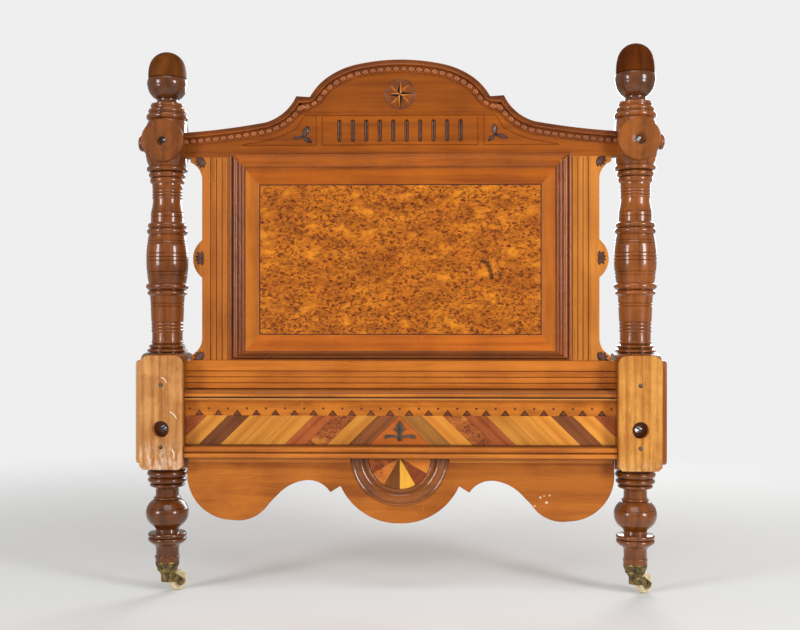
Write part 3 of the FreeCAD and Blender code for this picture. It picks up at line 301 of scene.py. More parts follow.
# %% [markdown]
# Finishes next. Writing a node tree out link by link is long, so small helpers keep it
# short: one adds a node with its inputs, some do sums, one makes noise and one mixes two
# colours. Colours are given as a paint chart would, from 0 to 255, and turned into the
# linear values that the renderer works in.

# %% Helpers for node trees


def tint(red, green, blue):
    """A chart colour as the renderer's linear one."""
    linear = [(c / 255 / 12.92) if c <= 10 else ((c / 255 + 0.055) / 1.055) ** 2.4
              for c in (red, green, blue)]
    return (*linear, 1.0)


def feed(tree, socket, value):
    """Link another node's output to an input, or set the input's own value."""
    if isinstance(value, bpy.types.NodeSocket):
        tree.links.new(value, socket)
    else:
        socket.default_value = value


def added(tree, kind, inputs=None, output=0, **settings):
    """Add a node of any kind and give back one of its outputs."""
    made = tree.nodes.new(kind)
    for key, value in settings.items():
        setattr(made, key, value)
    for key, value in (inputs or {}).items():
        feed(tree, made.inputs[key], value)
    return made.outputs[output]


def put(tree, kind, inputs=None, output=0, **settings):
    """Add a shader node and give back one of its outputs."""
    return added(tree, "ShaderNode" + kind, inputs, output, **settings)


def calc(tree, operation, first, second=0.5, clamp=False):
    """One sum on one or two values."""
    return put(tree, "Math", {0: first, 1: second}, operation=operation, use_clamp=clamp)


def times(tree, first, second, clamp=False):
    """One value times another."""
    return calc(tree, "MULTIPLY", first, second, clamp)


def plus(tree, first, second, clamp=False):
    """One value and another."""
    return calc(tree, "ADD", first, second, clamp)


def mixed(tree, share, first, second):
    """Two colours mixed by a share."""
    return put(tree, "Mix", {0: share, 6: first, 7: second}, output=2, data_type="RGBA")


def noisy(tree, place, scale, detail, rough=0.5, output=0):
    """Noise at a place, finer with a larger scale."""
    return put(tree, "TexNoise", {"Vector": place, "Scale": scale, "Detail": detail,
                                  "Roughness": rough}, output)


def stepped(tree, value, low, high):
    """0 below low and 1 above high, with a soft step between them."""
    return put(tree, "MapRange", {"Value": value, "From Min": low, "From Max": high},
               interpolation_type="SMOOTHSTEP")


def fading(tree, value, low, high):
    """1 below low and 0 above high, with a soft step between them."""
    return calc(tree, "SUBTRACT", 1.0, stepped(tree, value, low, high))


def new_group(name, inputs, outputs, kind="ShaderNodeTree"):
    """An empty node group, with its named sockets, and its two ends."""
    group = bpy.data.node_groups.new(name, kind)
    for label, kind, value in inputs:
        socket = group.interface.new_socket(label, in_out="INPUT", socket_type=kind)
        if value is not None:
            socket.default_value = value
    for label, kind in outputs:
        group.interface.new_socket(label, in_out="OUTPUT", socket_type=kind)
    start = group.nodes.new("NodeGroupInput")
    end = group.nodes.new("NodeGroupOutput")
    return group, start.outputs, end.inputs


def used(tree, group, inputs):
    """Place a group in a tree and give back all its outputs."""
    made = tree.nodes.new("ShaderNodeGroup")
    made.node_tree = group
    for key, value in inputs.items():
        feed(tree, made.inputs[key], value)
    return made.outputs


print("a mid grey of 128 is", round(tint(128, 128, 128)[0], 3), "to the renderer")

# %% [markdown]
# Sawn wood shows three things at once: growth rings, broad streaks where the log's colour
# changes, and fine fibres. All three run along the log, so this group takes a position
# whose Z axis lies along the grain, bends it a little, and stretches its noise that way.
# It only puts out masks: each wood mixes its own colours from them.

# %% The grain of sawn wood

FLOAT, VECTOR = "NodeSocketFloat", "NodeSocketVector"


def jostled(tree, position, field, amount):
    """A position pushed about, as far as an amount, by a noise's colour."""
    push = put(tree, "VectorMath", {0: field, 1: (0.5, 0.5, 0.5)}, operation="SUBTRACT")
    push = put(tree, "VectorMath", {0: push, "Scale": amount}, operation="SCALE")
    return put(tree, "VectorMath", {0: position, 1: push}, operation="ADD")


grain, given, given_back = new_group("Wood grain", [
    ("Position", VECTOR, None), ("Ring Spacing", FLOAT, 0.011), ("Wander", FLOAT, 0.02),
    ("Fibre Size", FLOAT, 0.0008)],
    [("Rings", FLOAT), ("Streaks", FLOAT), ("Fibres", FLOAT), ("Pores", FLOAT)])

slow = put(grain, "Mapping", {"Vector": given["Position"], "Scale": (1, 1, 0.12)})
bend = noisy(grain, slow, 7.0, 2.0, output="Color")
bent = jostled(grain, given["Position"], bend, given["Wander"])
flat = put(grain, "Mapping", {"Vector": bent, "Location": (0.09, 0.21, 0), "Scale": (1, 1, 0.015)})
from_pith = put(grain, "VectorMath", {0: flat}, output="Value", operation="LENGTH")
ring = calc(grain, "DIVIDE", from_pith, given["Ring Spacing"])
ring = calc(grain, "PINGPONG", ring, 1.0)
feed(grain, given_back["Rings"], calc(grain, "POWER", ring, 2.5))

long_way = put(grain, "Mapping", {"Vector": bent, "Scale": (1, 1, 0.045)})
streaks = noisy(grain, long_way, 95.0, 4.0, 0.6)
feed(grain, given_back["Streaks"], stepped(grain, streaks, 0.41, 0.60))
fine = put(grain, "Mapping", {"Vector": bent, "Scale": (1, 1, 0.025)})
rate = calc(grain, "DIVIDE", 1.0, given["Fibre Size"])
fibres = noisy(grain, fine, rate, 2.0)
feed(grain, given_back["Fibres"], stepped(grain, fibres, 0.38, 0.62))
short = put(grain, "Mapping", {"Vector": bent, "Scale": (1, 1, 0.10)})
pores = noisy(grain, short, 900.0, 1.0)
feed(grain, given_back["Pores"], stepped(grain, pores, 0.66, 0.74))
print("group:", grain.name, "with", len(grain.nodes), "nodes")

# %% [markdown]
# Age is the second shared effect. Polish darkens in soft patches, small knocks leave
# short dark dents, and pale scratches cross the grain. The hollow marks on the mesh
# gather wax, and on a few mouldings they also lay painted shade. The group puts out one
# mask for each, so that a bright board and a dark post can show the same years in their
# own colours.

# %% Years of use

age, given, given_back = new_group("Years of use", [
    ("Position", VECTOR, None), ("Patch Size", FLOAT, 0.12), ("Scratches", FLOAT, 0.5)],
    [("Patches", FLOAT), ("Scratch", FLOAT), ("Dent", FLOAT), ("Wax and shade", FLOAT),
     ("Polish", FLOAT)])

rate = calc(age, "DIVIDE", 1.0, given["Patch Size"])
patches = noisy(age, given["Position"], rate, 5.0, 0.55)
feed(age, given_back["Patches"], stepped(age, patches, 0.38, 0.64))

lean = put(age, "Mapping", {"Vector": given["Position"], "Rotation": (0.4, 0.9, 0.3),
                            "Scale": (1, 1, 0.06)})
lines = noisy(age, lean, 420.0, 1.0)
where = noisy(age, given["Position"], 38.0, 2.0)
lines = times(age, stepped(age, lines, 0.70, 0.76), stepped(age, where, 0.52, 0.64))
feed(age, given_back["Scratch"], times(age, lines, given["Scratches"]))

knock_cells = {"Vector": given["Position"], "Scale": 75.0}
knocks = put(age, "TexVoronoi", knock_cells, output="Distance")
few = put(age, "TexVoronoi", knock_cells, output="Color")
few = put(age, "SeparateColor", {"Color": few}, output="Red")
knocks = times(age, calc(age, "LESS_THAN", knocks, 0.085), calc(age, "GREATER_THAN", few, 0.78))
feed(age, given_back["Dent"], knocks)

hollow = put(age, "Attribute", output="Fac", attribute_name="hollow")
uneven = noisy(age, given["Position"], 140.0, 3.0)
uneven = put(age, "MapRange", {"Value": uneven, "From Min": 0.3, "From Max": 0.7,
                               "To Min": 0.75, "To Max": 1.0})
feed(age, given_back["Wax and shade"], times(age, hollow, uneven, clamp=True))
feed(age, given_back["Polish"], noisy(age, given["Position"], 55.0, 3.0))
print("group:", age.name, "with", len(age.nodes), "nodes")

# %% [markdown]
# Each wood is one material with its own light and dark colour and its own amount of
# polish. The Principled shader's coat is the varnish. The grain runs along a board, so the
# material turns the position first: along X for rails, along Z for posts and stiles, and
# leaning both ways from the middle for the strips of the inlaid band.

# %% A wood, from its colours

ALONG = {"up": 0, "across": -90, "both_ways": 45}
# Dark wax in the hollows, and painted shade where a piece's hollow marks are set for it.
WAX_AND_SHADE = tint(46, 22, 10)


def new_finish(name):
    """An empty finish: its material, tree and shader, and the place on the object."""
    material = bpy.data.materials.new(name)
    material.use_nodes = True
    tree = material.node_tree
    position = put(tree, "TexCoord", output="Object")
    return material, tree, tree.nodes["Principled BSDF"], position


def filled(node, values):
    """Set several inputs of a node."""
    for key, value in values.items():
        node.inputs[key].default_value = value


def aged(tree, position, patch, scratches):
    """The masks of the years of use, for one finish."""
    return used(tree, age, {"Position": position, "Patch Size": patch, "Scratches": scratches})


def bumped(tree, shader, height, strength, distance=0.0004):
    """Give a finish its fine relief."""
    bump = put(tree, "Bump", {"Height": height, "Strength": strength, "Distance": distance})
    feed(tree, shader.inputs["Normal"], bump)


def wood(name, light, dark, along="up", spacing=0.011, wander=0.02, fibre=0.0008,
         contrast=0.75, rough=0.36, varnish=0.2, wax=0.85, scratches=0.4, pores=0.0,
         patch=0.12, patchy=0.35, relief=0.06, tone=0.0, specular=0.22, coat_rough=0.16):
    """A finish for one timber."""
    material, tree, shader, position = new_finish(name)
    grown_in = position
    if along == "both_ways":
        grown_in = put(tree, "VectorMath", {0: position}, operation="ABSOLUTE")
    turned_way = put(tree, "Mapping", {"Vector": grown_in,
                                       "Rotation": (0, math.radians(ALONG[along]), 0)})
    figure = used(tree, grain, {"Position": turned_way, "Ring Spacing": spacing,
                                "Wander": wander, "Fibre Size": fibre})
    years = aged(tree, position, patch, scratches)
    share = times(tree, figure["Rings"], 0.45)
    share = plus(tree, share, times(tree, figure["Streaks"], 0.40))
    share = plus(tree, share, times(tree, figure["Fibres"], 0.25))
    share = times(tree, share, contrast)
    share = plus(tree, share, times(tree, years["Patches"], patchy), clamp=True)
    colour = mixed(tree, share, tint(*light), tint(*dark))
    if tone:
        bit = put(tree, "Attribute", output="Fac", attribute_name="tone")
        up = plus(tree, times(tree, bit, tone), 1.0)
        colour = put(tree, "VectorMath", {0: colour, "Scale": up}, operation="SCALE")
    if pores:
        holes = times(tree, figure["Pores"], pores)
        colour = mixed(tree, holes, colour, tint(*[c * 0.45 for c in dark]))
    colour = mixed(tree, times(tree, years["Dent"], 0.5), colour,
                   tint(*[c * 0.5 for c in dark]))
    colour = mixed(tree, years["Scratch"], colour, tint(*[min(255, c * 1.2) for c in light]))
    colour = mixed(tree, times(tree, years["Wax and shade"], wax), colour, WAX_AND_SHADE)
    feed(tree, shader.inputs["Base Color"], colour)
    dull = times(tree, years["Polish"], 0.16)
    dull = plus(tree, dull, times(tree, years["Scratch"], 0.2))
    feed(tree, shader.inputs["Roughness"], plus(tree, dull, rough - 0.08))
    filled(shader, {"Specular IOR Level": specular, "Coat Weight": varnish,
                    "Coat Roughness": coat_rough, "Coat IOR": 1.45})
    height = times(tree, figure["Fibres"], -0.35)
    height = plus(tree, height, times(tree, years["Polish"], 1.2))
    height = calc(tree, "SUBTRACT", height, years["Dent"])
    bumped(tree, shader, height, relief * 4, 0.0006)
    return material


def in_a_pair(name, left, right, **settings):
    """The same wood for the left and the right side, each with its own two colours."""
    return {which: wood(f"{name}, {which}", *colours, **settings)
            for which, colours in (("left", left), ("right", right))}


board_wood = wood("honey board", (212, 124, 40), (160, 82, 20), along="across")
print("a wood's material has", len(board_wood.node_tree.nodes), "nodes")

# %% [markdown]
# Some marks are in one place only: a dark scratch on a pad, pale dings on the apron, a
# crest that is darker towards its left end and its top. Each is a mask of the place on
# the object, made of round spots, thin arcs or a slope along X or Z, and its colour is
# laid over the finish that is already there. Some mouldings further down get painted
# shade and painted highlights the same way. A painted texture could hold them too, but
# these few numbers are easier to move, and they ask for no image.

# %% Marks in one place


def near(tree, position, x, z):
    """How far a place on a front lies from a spot, in millimetres."""
    flat = put(tree, "VectorMath", {0: position, 1: (1, 0, 1)}, operation="MULTIPLY")
    away = put(tree, "VectorMath", {0: flat, 1: (x * MM, 0, z * MM)}, output="Value",
               operation="DISTANCE")
    return times(tree, away, 1 / MM)


def spot_mask(*spots):
    """A mask of round spots, each an x, a z and a radius."""
    def masked(tree, position):
        mask = 0.0
        for x, z, radius in spots:
            inside = fading(tree, near(tree, position, x, z), radius * 0.5, radius)
            mask = calc(tree, "MAXIMUM", mask, inside)
        return mask
    return masked


def arc_mask(*arcs):
    """A mask of thin curved scratches: middle x and z, heading, radius, reach and width."""
    def masked(tree, position):
        mask = 0.0
        for x, z, heading, radius, reach, width in arcs:
            turn = math.radians(heading)
            centre = (x + radius * math.cos(turn), z + radius * math.sin(turn))
            off = calc(tree, "SUBTRACT", near(tree, position, *centre), radius)
            line = fading(tree, calc(tree, "ABSOLUTE", off), width * 0.5, width)
            here = fading(tree, near(tree, position, x, z), reach * 0.6, reach)
            mask = calc(tree, "MAXIMUM", mask, times(tree, line, here))
        return mask
    return masked


def slope_mask(axis, start, end, patch=0.0):
    """A mask that grows along X or Z from a start to an end, in millimetres."""
    def masked(tree, position):
        place = put(tree, "SeparateXYZ", {"Vector": position}, output=axis)
        mask = stepped(tree, place, start * MM, end * MM)
        if patch:
            drawn_out = put(tree, "Mapping", {"Vector": position, "Scale": (1, 1, 0.3)})
            broken = noisy(tree, drawn_out, 1 / (patch * MM), 6.0, 0.7)
            mask = times(tree, mask, stepped(tree, broken, 0.42, 0.66))
        return mask
    return masked


def over(material, masked, colour, strength=1.0, behind=None):
    """Lay a colour over a finish where a mask of the place says so, down to a depth in Y."""
    tree = material.node_tree
    target = tree.nodes["Principled BSDF"].inputs["Base Color"]
    position = put(tree, "TexCoord", output="Object")
    under = target.links[0].from_socket
    share = times(tree, masked(tree, position), strength, clamp=True)
    if behind is not None:
        depth = put(tree, "SeparateXYZ", {"Vector": position}, output="Y")
        share = times(tree, share, calc(tree, "LESS_THAN", depth, behind * MM))
    feed(tree, target, mixed(tree, share, under, tint(*colour)))
    return material


apron_wood = wood("apron board", (200, 116, 36), (144, 74, 18), along="across", patchy=0.5)
over(apron_wood, slope_mask("X", -120, 60), (132, 66, 10), 0.3)
over(apron_wood, spot_mask((230, 163.6, 2.4), (240, 155.4, 2.8), (220.5, 149.7, 2.0),
                           (245, 167, 1.8), (236, 166, 1.4)), (232, 214, 178), 0.8, behind=-16)
crest_wood = wood("crest, darker left and top", (170, 88, 16), (120, 56, 6), along="across")
# Darker towards the left end and the top, lighter towards the right end.
over(crest_wood, slope_mask("X", -120, -320), (104, 50, 6), 0.4)
over(crest_wood, slope_mask("X", 120, 320), (206, 112, 30), 0.17)
over(crest_wood, slope_mask("Z", 775, 830), (112, 54, 6), 0.35)
print("the apron's finish has", len(apron_wood.node_tree.nodes), "nodes with its dings")

# %% [markdown]
# The rest of the outer woods. The boards are honey coloured and even, the posts darker
# and glossier, and the left and right of a pair are coloured differently. The four
# lengths of the panel moulding are one wood with painted light and shade, lighter at
# the top and darker at the foot and the sides. The cornice and the double reed get
# painted shade and a painted highlight as bands, by slopes only a millimetre long.

# %% The woods of the posts and boards

stile_woods = in_a_pair("honey stile", ((190, 110, 38), (138, 72, 18)),
                        ((216, 136, 52), (162, 92, 28)))
GLOSSY = {"rough": 0.24, "scratches": 0.6, "specular": 0.2}
post_woods = in_a_pair("dark turned post", ((146, 78, 22), (88, 42, 10)),
                       ((166, 92, 32), (106, 54, 16)), spacing=0.009, varnish=0.85,
                       patch=0.07, coat_rough=0.08, **GLOSSY)
for turned_wood in post_woods.values():
    over(turned_wood, slope_mask("Z", 214, 196), (64, 34, 14), 0.4)
cup_wood = wood("dark finial cup", (116, 64, 28), (64, 34, 14), varnish=0.9, patch=0.03,
                coat_rough=0.07, **GLOSSY)
HALF_GLOSSY = {"rough": 0.28, "varnish": 0.4}
SATIN = {"along": "across", "rough": 0.30, "varnish": 0.3, "wax": 0.9}
# The four lengths of the panel moulding are one wood painted with light and shade: the top lighter,
# the foot and the left side darkest.
side_mouldings_lit_and_shaded = in_a_pair("panel moulding", ((146, 74, 26), (92, 44, 14)),
                         ((172, 92, 38), (112, 54, 20)), wax=0.9, **HALF_GLOSSY)
lit_top_moulding = wood("panel moulding", (186, 98, 24), (126, 62, 12), **SATIN)
shaded_foot_moulding = wood("panel moulding, foot", (144, 74, 15), (96, 46, 8), **SATIN)
cornice_wood = wood("cornice", (224, 138, 44), (166, 90, 24), **SATIN)
# Painted shade on the cornice's upper cove, under the rail.
over(cornice_wood, slope_mask("Z", 332.6, 333.6), (132, 70, 20), 0.75)
# A painted highlight on the lip under the black line.
over(cornice_wood, slope_mask("Z", 326.4, 325.4), (240, 168, 84), 0.6)
reed_wood = wood("double reed", (216, 130, 46), (162, 86, 24), along="across")
# Painted shadow along the top of the double reed, under the box, and painted shade along its foot
# where it meets the fillet.
over(reed_wood, slope_mask("Z", 246.2, 247.2), (66, 32, 12), 0.85)
over(reed_wood, slope_mask("Z", 229.7, 228.9), (82, 40, 14), 0.8)
# The fillet is painted lighter than the apron: painted light where the double reed above shades it.
fillet_wood_painted_light = wood("apron fillet, painted light", (228, 146, 62), (184, 102, 36), along="across")
edge_wood = wood("crest moulding", (164, 84, 22), (112, 54, 12), along="across", wax=0.8,
                 **HALF_GLOSSY)
bead_wood = wood("carved bead", (178, 100, 48), (120, 64, 30), along="across",
                 rough=0.26, varnish=0.5, wax=0.75)
print("materials so far:", len(bpy.data.materials))

# %% [markdown]
# The pads were never varnished. Sun and rubbing left them pale at the foot, with three
# pale scratches and a dark line on the left one and a long crack on the right one. The
# discs over the upper bolts have a dark arc at the lower rim of the hole, and the domes
# of the finials are worn dull.

# %% Bare and worn woods

bare_woods = in_a_pair("bare pad", ((216, 154, 92), (164, 104, 48)),
                       ((222, 158, 74), (176, 108, 40)), spacing=0.006, rough=0.62,
                       varnish=0.0, pores=0.5, scratches=0.9, relief=0.12, wax=0.6,
                       patch=0.04, patchy=0.45, contrast=0.95)
over(bare_woods["left"], slope_mask("Z", 268, 214, patch=5), (232, 206, 182), 0.8)
PAD_FACE = -43
pale_scratches = arc_mask((-382, 357.4, 225, 12, 8, 0.9), (-366.8, 300.4, 225, 18, 10, 1.0),
                          (-366.8, 236.2, 190, 17, 10, 1.1))
over(bare_woods["left"], pale_scratches, (246, 228, 198), 0.9, behind=PAD_FACE)
over(bare_woods["left"], arc_mask((-386, 322, 180, 400, 27, 0.5)), (96, 56, 26), 0.8,
     behind=PAD_FACE)
over(bare_woods["right"], slope_mask("Z", 236, 206, patch=5), (230, 196, 150), 0.5)
over(bare_woods["right"], arc_mask((392, 304, 180, 3000, 84, 0.6)), (150, 88, 30), 0.7,
     behind=PAD_FACE)
tablet_colours = ((190, 108, 40), (138, 72, 20))
tablet_woods = in_a_pair("side tablet", tablet_colours, tablet_colours, rough=0.3, varnish=0.5)
over(tablet_woods["left"], slope_mask("Z", 150, 160), (214, 160, 104), 0.85, behind=-14.5)
boss_woods = in_a_pair("worn disc", ((142, 76, 18), (94, 46, 8)), ((160, 88, 26), (112, 58, 12)),
                       rough=0.42, varnish=0.15, patch=0.02, scratches=0.8)
for which, rim_arc, disc_face in (("left", (-394, 743, 35, 8.5, 7, 1.7), -32),
                               ("right", (394, 741.5, 120, 9.0, 8, 1.9), -31)):
    over(boss_woods[which], arc_mask(rim_arc), (40, 20, 8), 0.9, behind=disc_face)
WORN = {"varnish": 0.0, "scratches": 0.8, "patch": 0.03}
finial_woods = {"left": wood("worn finial, left", (116, 62, 8), (74, 34, 2), rough=0.5,
                             specular=0.1, **WORN),
                "right": wood("worn finial, right", (102, 46, 4), (66, 28, 2), rough=0.6,
                              specular=0.06, **WORN)}
print("materials so far:", len(bpy.data.materials))

# %% [markdown]
# The inlays are thin pieces of other timbers. They share the same recipe, but lean with
# the strips that they are cut into, and every strip has its own tone.

# %% The inlaid timbers

ear_wood = wood("dark ear carving", (122, 88, 78), (62, 40, 34), rough=0.34,
                varnish=0.4, wax=0.9)
inlay_light = wood("yellow inlay", (226, 156, 62), (190, 114, 38), along="both_ways",
                   tone=0.14, rough=0.32, wander=0.03, fibre=0.0006)
inlay_brown = wood("brown inlay", (144, 82, 42), (98, 52, 26), along="both_ways", tone=0.2,
                   pores=0.5, spacing=0.007)
inlay_tan = wood("tan inlay", (176, 116, 50), (136, 84, 34), along="both_ways", pores=0.4)
inlay_red = wood("red inlay", (192, 102, 50), (138, 66, 28), along="both_ways", tone=0.12,
                 pores=0.35, contrast=0.9)
dark_carved = wood("dark carving", (86, 50, 34), (44, 26, 22), rough=0.30,
                   varnish=0.5, wax=0.9)
centre_wood = wood("orange inlay", (206, 110, 36), (164, 82, 28), along="across")
notch_stain_and_shade = wood("notch outline", (112, 56, 34), (76, 36, 24), along="across")
sprig_wood = wood("sprig", (104, 90, 78), (58, 46, 40), patch=0.01, wax=0.6)
print("materials so far:", len(bpy.data.materials))

# %% [markdown]
# Burl is the wild wood of a growth on the trunk. Its veneer shows small dark eyes and
# flecks that crowd together in drifts over a yellow ground, with soft clouds between
# them. Rings would look wrong here, so the pattern comes from cells whose edges are
# pulled about by noise, thinned out by a slower noise that leaves clear patches. The
# panel's one dark mark and its largest eyes are spots laid over it.

# %% Burl veneer

burl, given, given_back = new_group("Burl figure", [
    ("Position", VECTOR, None), ("Fleck Size", FLOAT, 0.006), ("Crowding", FLOAT, 0.5)],
    [("Flecks", FLOAT), ("Drift", FLOAT), ("Clouds", FLOAT)])
stretch = put(burl, "Mapping", {"Vector": given["Position"], "Scale": (0.72, 1, 1.15)})
pull = noisy(burl, stretch, 95.0, 3.0, output="Color")
pulled = jostled(burl, stretch, pull, 0.016)
rate = calc(burl, "DIVIDE", 1.0, given["Fleck Size"])
cells = put(burl, "TexVoronoi", {"Vector": pulled, "Scale": rate}, output="Distance")
outer = fading(burl, cells, 0.34, 0.50)
heart = fading(burl, cells, 0.04, 0.16)
eyes = calc(burl, "SUBTRACT", outer, times(burl, heart, 0.6))
curls = noisy(burl, pulled, times(burl, rate, 1.3), 4.0, 0.65)
curls = stepped(burl, curls, 0.47, 0.58)
drift = noisy(burl, stretch, 34.0, 4.0, 0.62)
low = calc(burl, "SUBTRACT", 0.62, times(burl, given["Crowding"], 0.3))
drift = stepped(burl, drift, low, plus(burl, low, 0.14))
marks_here = calc(burl, "MAXIMUM", eyes, times(burl, curls, 0.7))
strong = noisy(burl, stretch, 150.0, 2.0)
strong = put(burl, "MapRange", {"Value": strong, "From Min": 0.36, "From Max": 0.56,
                                "To Min": 0.45, "To Max": 1.0})
marks_here = times(burl, marks_here, strong)
feed(burl, given_back["Flecks"], times(burl, marks_here, drift))
drawn_out = put(burl, "Mapping", {"Vector": pulled, "Scale": (0.6, 1, 1.2)})
clouds = noisy(burl, drawn_out, 30.0, 6.0, 0.72)
feed(burl, given_back["Clouds"], stepped(burl, clouds, 0.44, 0.60))
feed(burl, given_back["Drift"], drift)


def burl_finish(name, clear, drifted, fleck, crowding, size=0.004):
    """A varnished burl veneer."""
    material, tree, shader, position = new_finish(name)
    figure = used(tree, burl, {"Position": position, "Fleck Size": size,
                               "Crowding": crowding})
    years = aged(tree, position, 0.05, 0.2)
    colour = mixed(tree, times(tree, years["Patches"], 0.5), tint(*clear), tint(*drifted))
    colour = mixed(tree, times(tree, figure["Drift"], 0.6), colour, tint(*drifted))
    colour = mixed(tree, times(tree, figure["Clouds"], 0.8), colour,
                   tint(*[c * 0.86 for c in drifted]))
    colour = mixed(tree, times(tree, figure["Flecks"], 0.95), colour, tint(*fleck))
    colour = mixed(tree, times(tree, years["Wax and shade"], 0.8), colour, WAX_AND_SHADE)
    feed(tree, shader.inputs["Base Color"], colour)
    feed(tree, shader.inputs["Roughness"], plus(tree, times(tree, years["Polish"], 0.16), 0.26))
    filled(shader, {"Specular IOR Level": 0.22, "Coat Weight": 0.2, "Coat Roughness": 0.18})
    bumped(tree, shader, figure["Flecks"], 0.08)
    return material


burl_veneer = burl_finish("burl veneer", (230, 142, 34), (188, 100, 22), (92, 34, 8),
                          crowding=0.9, size=0.0052)
over(burl_veneer, spot_mask((135, 551, 4.0), (139.5, 550.5, 4.8), (144.5, 547.5, 4.6),
                            (147, 541.5, 5.2), (149.2, 535, 5.4), (151, 528.5, 5.2),
                            (151.6, 523.5, 4.4)), (66, 36, 20), 0.85, behind=0)
over(burl_veneer, spot_mask((165.3, 528.1, 5.4), (200, 527.5, 5.4), (-168, 545, 3.8),
                            (-240, 521, 4.0)), (92, 46, 26), 0.8, behind=0)
burl_inlay = burl_finish("burl inlay", (200, 122, 50), (170, 88, 38), (92, 42, 28),
                         crowding=0.7, size=0.0042)
print("group:", burl.name, "with", len(burl.nodes), "nodes")

# %% [markdown]
# What isn't wood is small: brass castors gone dull, white ceramic wheels with worn
# treads, rusty screws in the pads, and the black line and sprig of stained wood. Brass
# and steel need their metal value to change with the tarnish, and the ceramic is a clear
# coat over an off-white body that is stained where it rolls.

# %% Brass, ceramic, steel and black wood


def metal_finish(name, bright, tarnish, rough):
    """A metal under patches of tarnish."""
    material, tree, shader, position = new_finish(name)
    years = aged(tree, position, 0.008, 0.8)
    cover = plus(tree, years["Patches"], times(tree, years["Wax and shade"], 0.7), clamp=True)
    feed(tree, shader.inputs["Base Color"], mixed(tree, cover, tint(*bright), tint(*tarnish)))
    feed(tree, shader.inputs["Metallic"], calc(tree, "SUBTRACT", 1.0, times(tree, cover, 0.6)))
    feed(tree, shader.inputs["Roughness"], plus(tree, times(tree, cover, 0.3), rough, clamp=True))
    bumped(tree, shader, years["Polish"], 0.2)
    return material


brass = metal_finish("dull brass", (150, 126, 74), (60, 54, 36), 0.36)
steel = metal_finish("rusty steel", (120, 108, 96), (70, 42, 26), 0.45)


def ceramic_finish():
    """White ceramic, glazed, with a worn and stained tread."""
    material, tree, shader, position = new_finish("worn white ceramic")
    years = aged(tree, position, 0.011, 0.6)
    stain = plus(tree, times(tree, years["Patches"], 0.45), times(tree, years["Wax and shade"], 0.6),
                 clamp=True)
    colour = mixed(tree, stain, tint(240, 222, 180), tint(176, 142, 96))
    feed(tree, shader.inputs["Base Color"], mixed(tree, years["Dent"], colour, tint(110, 84, 60)))
    feed(tree, shader.inputs["Roughness"], plus(tree, times(tree, years["Patches"], 0.25), 0.25))
    filled(shader, {"Coat Weight": 0.5, "Coat Roughness": 0.1})
    bumped(tree, shader, years["Polish"], 0.1)
    return material


ceramic = ceramic_finish()
ebony = wood("black stained wood", (26, 21, 25), (11, 9, 13), along="across", rough=0.36,
             varnish=0.1, wax=0.3, scratches=0.5, specular=0.15)
print("finishes:", len(bpy.data.materials))

# %% [markdown]
# The posts are the boldest pieces: two baluster turnings with a square block below, where
# the side rail was bolted, and a flattened ball above it. A turner works from a pattern
# stick, so the profile is given as rows from the floor up, with shares of each stretch's
# height and of the turning's radius. Fine lines were cut with the corner of a chisel.

# %% The turned profile of a post

TURNING = 35.0
FOOT, BLOCK_FOOT, BLOCK_TOP, BALL_FOOT, COLLAR_FOOT, POST_TOP = 52, 207, 399.5, 709, 787, 813

foot_turning = [
    (0.003, 0.560), (0.052, 0.590, 0.020), (0.062, 0.545), (0.145, 0.545, -0.020),
    (0.187, 0.670), (0.200, 0.780), (0.219, 0.860, 0.045), (0.261, 0.860), (0.265, 0.800),
    (0.269, 0.870, 0.040), (0.310, 0.870), (0.316, 0.570), (0.350, 0.545), (0.378, 0.640),
    (0.381, 0.660, 0.350), (0.664, 0.660), (0.668, 0.600, 0.045), (0.694, 0.600),
    (0.704, 0.550), (0.782, 0.540), (0.804, 0.690), (0.807, 0.770, 0.050), (0.839, 0.770),
    (0.847, 0.740), (0.855, 0.855, 0.060), (0.901, 0.855), (0.910, 0.800),
    (0.921, 0.885, 0.060), (0.978, 0.885), (0.987, 0.830),
]
shaft_turning = [
    (0.003, 0.800), (0.005, 0.915, 0.035), (0.017, 0.915), (0.024, 0.800),
    (0.030, 0.830, 0.035), (0.040, 0.830), (0.047, 0.700), (0.050, 0.715, 0.030),
    (0.063, 0.715), (0.089, 0.712), (0.108, 0.712, 0.034), (0.126, 0.712, 0.034),
    (0.144, 0.712, 0.034), (0.163, 0.718), (0.167, 0.752), (0.254, 0.785), (0.305, 0.808),
    (0.309, 0.850), (0.311, 0.890, 0.045), (0.329, 0.890), (0.335, 0.850),
    (0.344, 0.957, 0.043), (0.367, 0.957), (0.372, 0.870), (0.377, 0.885, 0.105),
    (0.627, 0.885), (0.631, 0.840), (0.641, 0.925, 0.032), (0.661, 0.925), (0.666, 0.845),
    (0.671, 0.875, 0.040), (0.692, 0.875), (0.699, 0.770), (0.745, 0.777), (0.760, 0.757, -0.020),
    (0.824, 0.672, 0.034), (0.840, 0.672, 0.034), (0.857, 0.672, 0.034), (0.874, 0.672),
    (0.878, 0.700), (0.905, 0.705), (0.910, 0.762, 0.034), (0.9345, 0.790), (0.938, 0.745),
    (0.942, 0.818, 0.048), (0.966, 0.818),
    (0.971, 0.780), (0.974, 0.915, 0.052), (0.997, 0.915),
]
collar_turning = [
    (0.010, 0.943, 0.040), (0.310, 0.943), (0.360, 0.850), (0.420, 0.857, 0.038),
    (0.650, 0.857), (0.730, 0.760), (0.800, 0.757, 0.030), (0.960, 0.757),
]
CHISEL_LINES = (141.7, 476.6, 481.6, 528.5, 533.5, 552.0, 558.0, 564.0, 580.0, 584.7, 625.0,
                632.5)


def stretch_of(shares, foot, top, radius=TURNING):
    """Rows of shares as rows of (radius, height, rise) in millimetres."""
    tall = top - foot
    return [(row[1] * radius, foot + tall * row[0], *[r * radius for r in row[2:]])
            for row in shares]


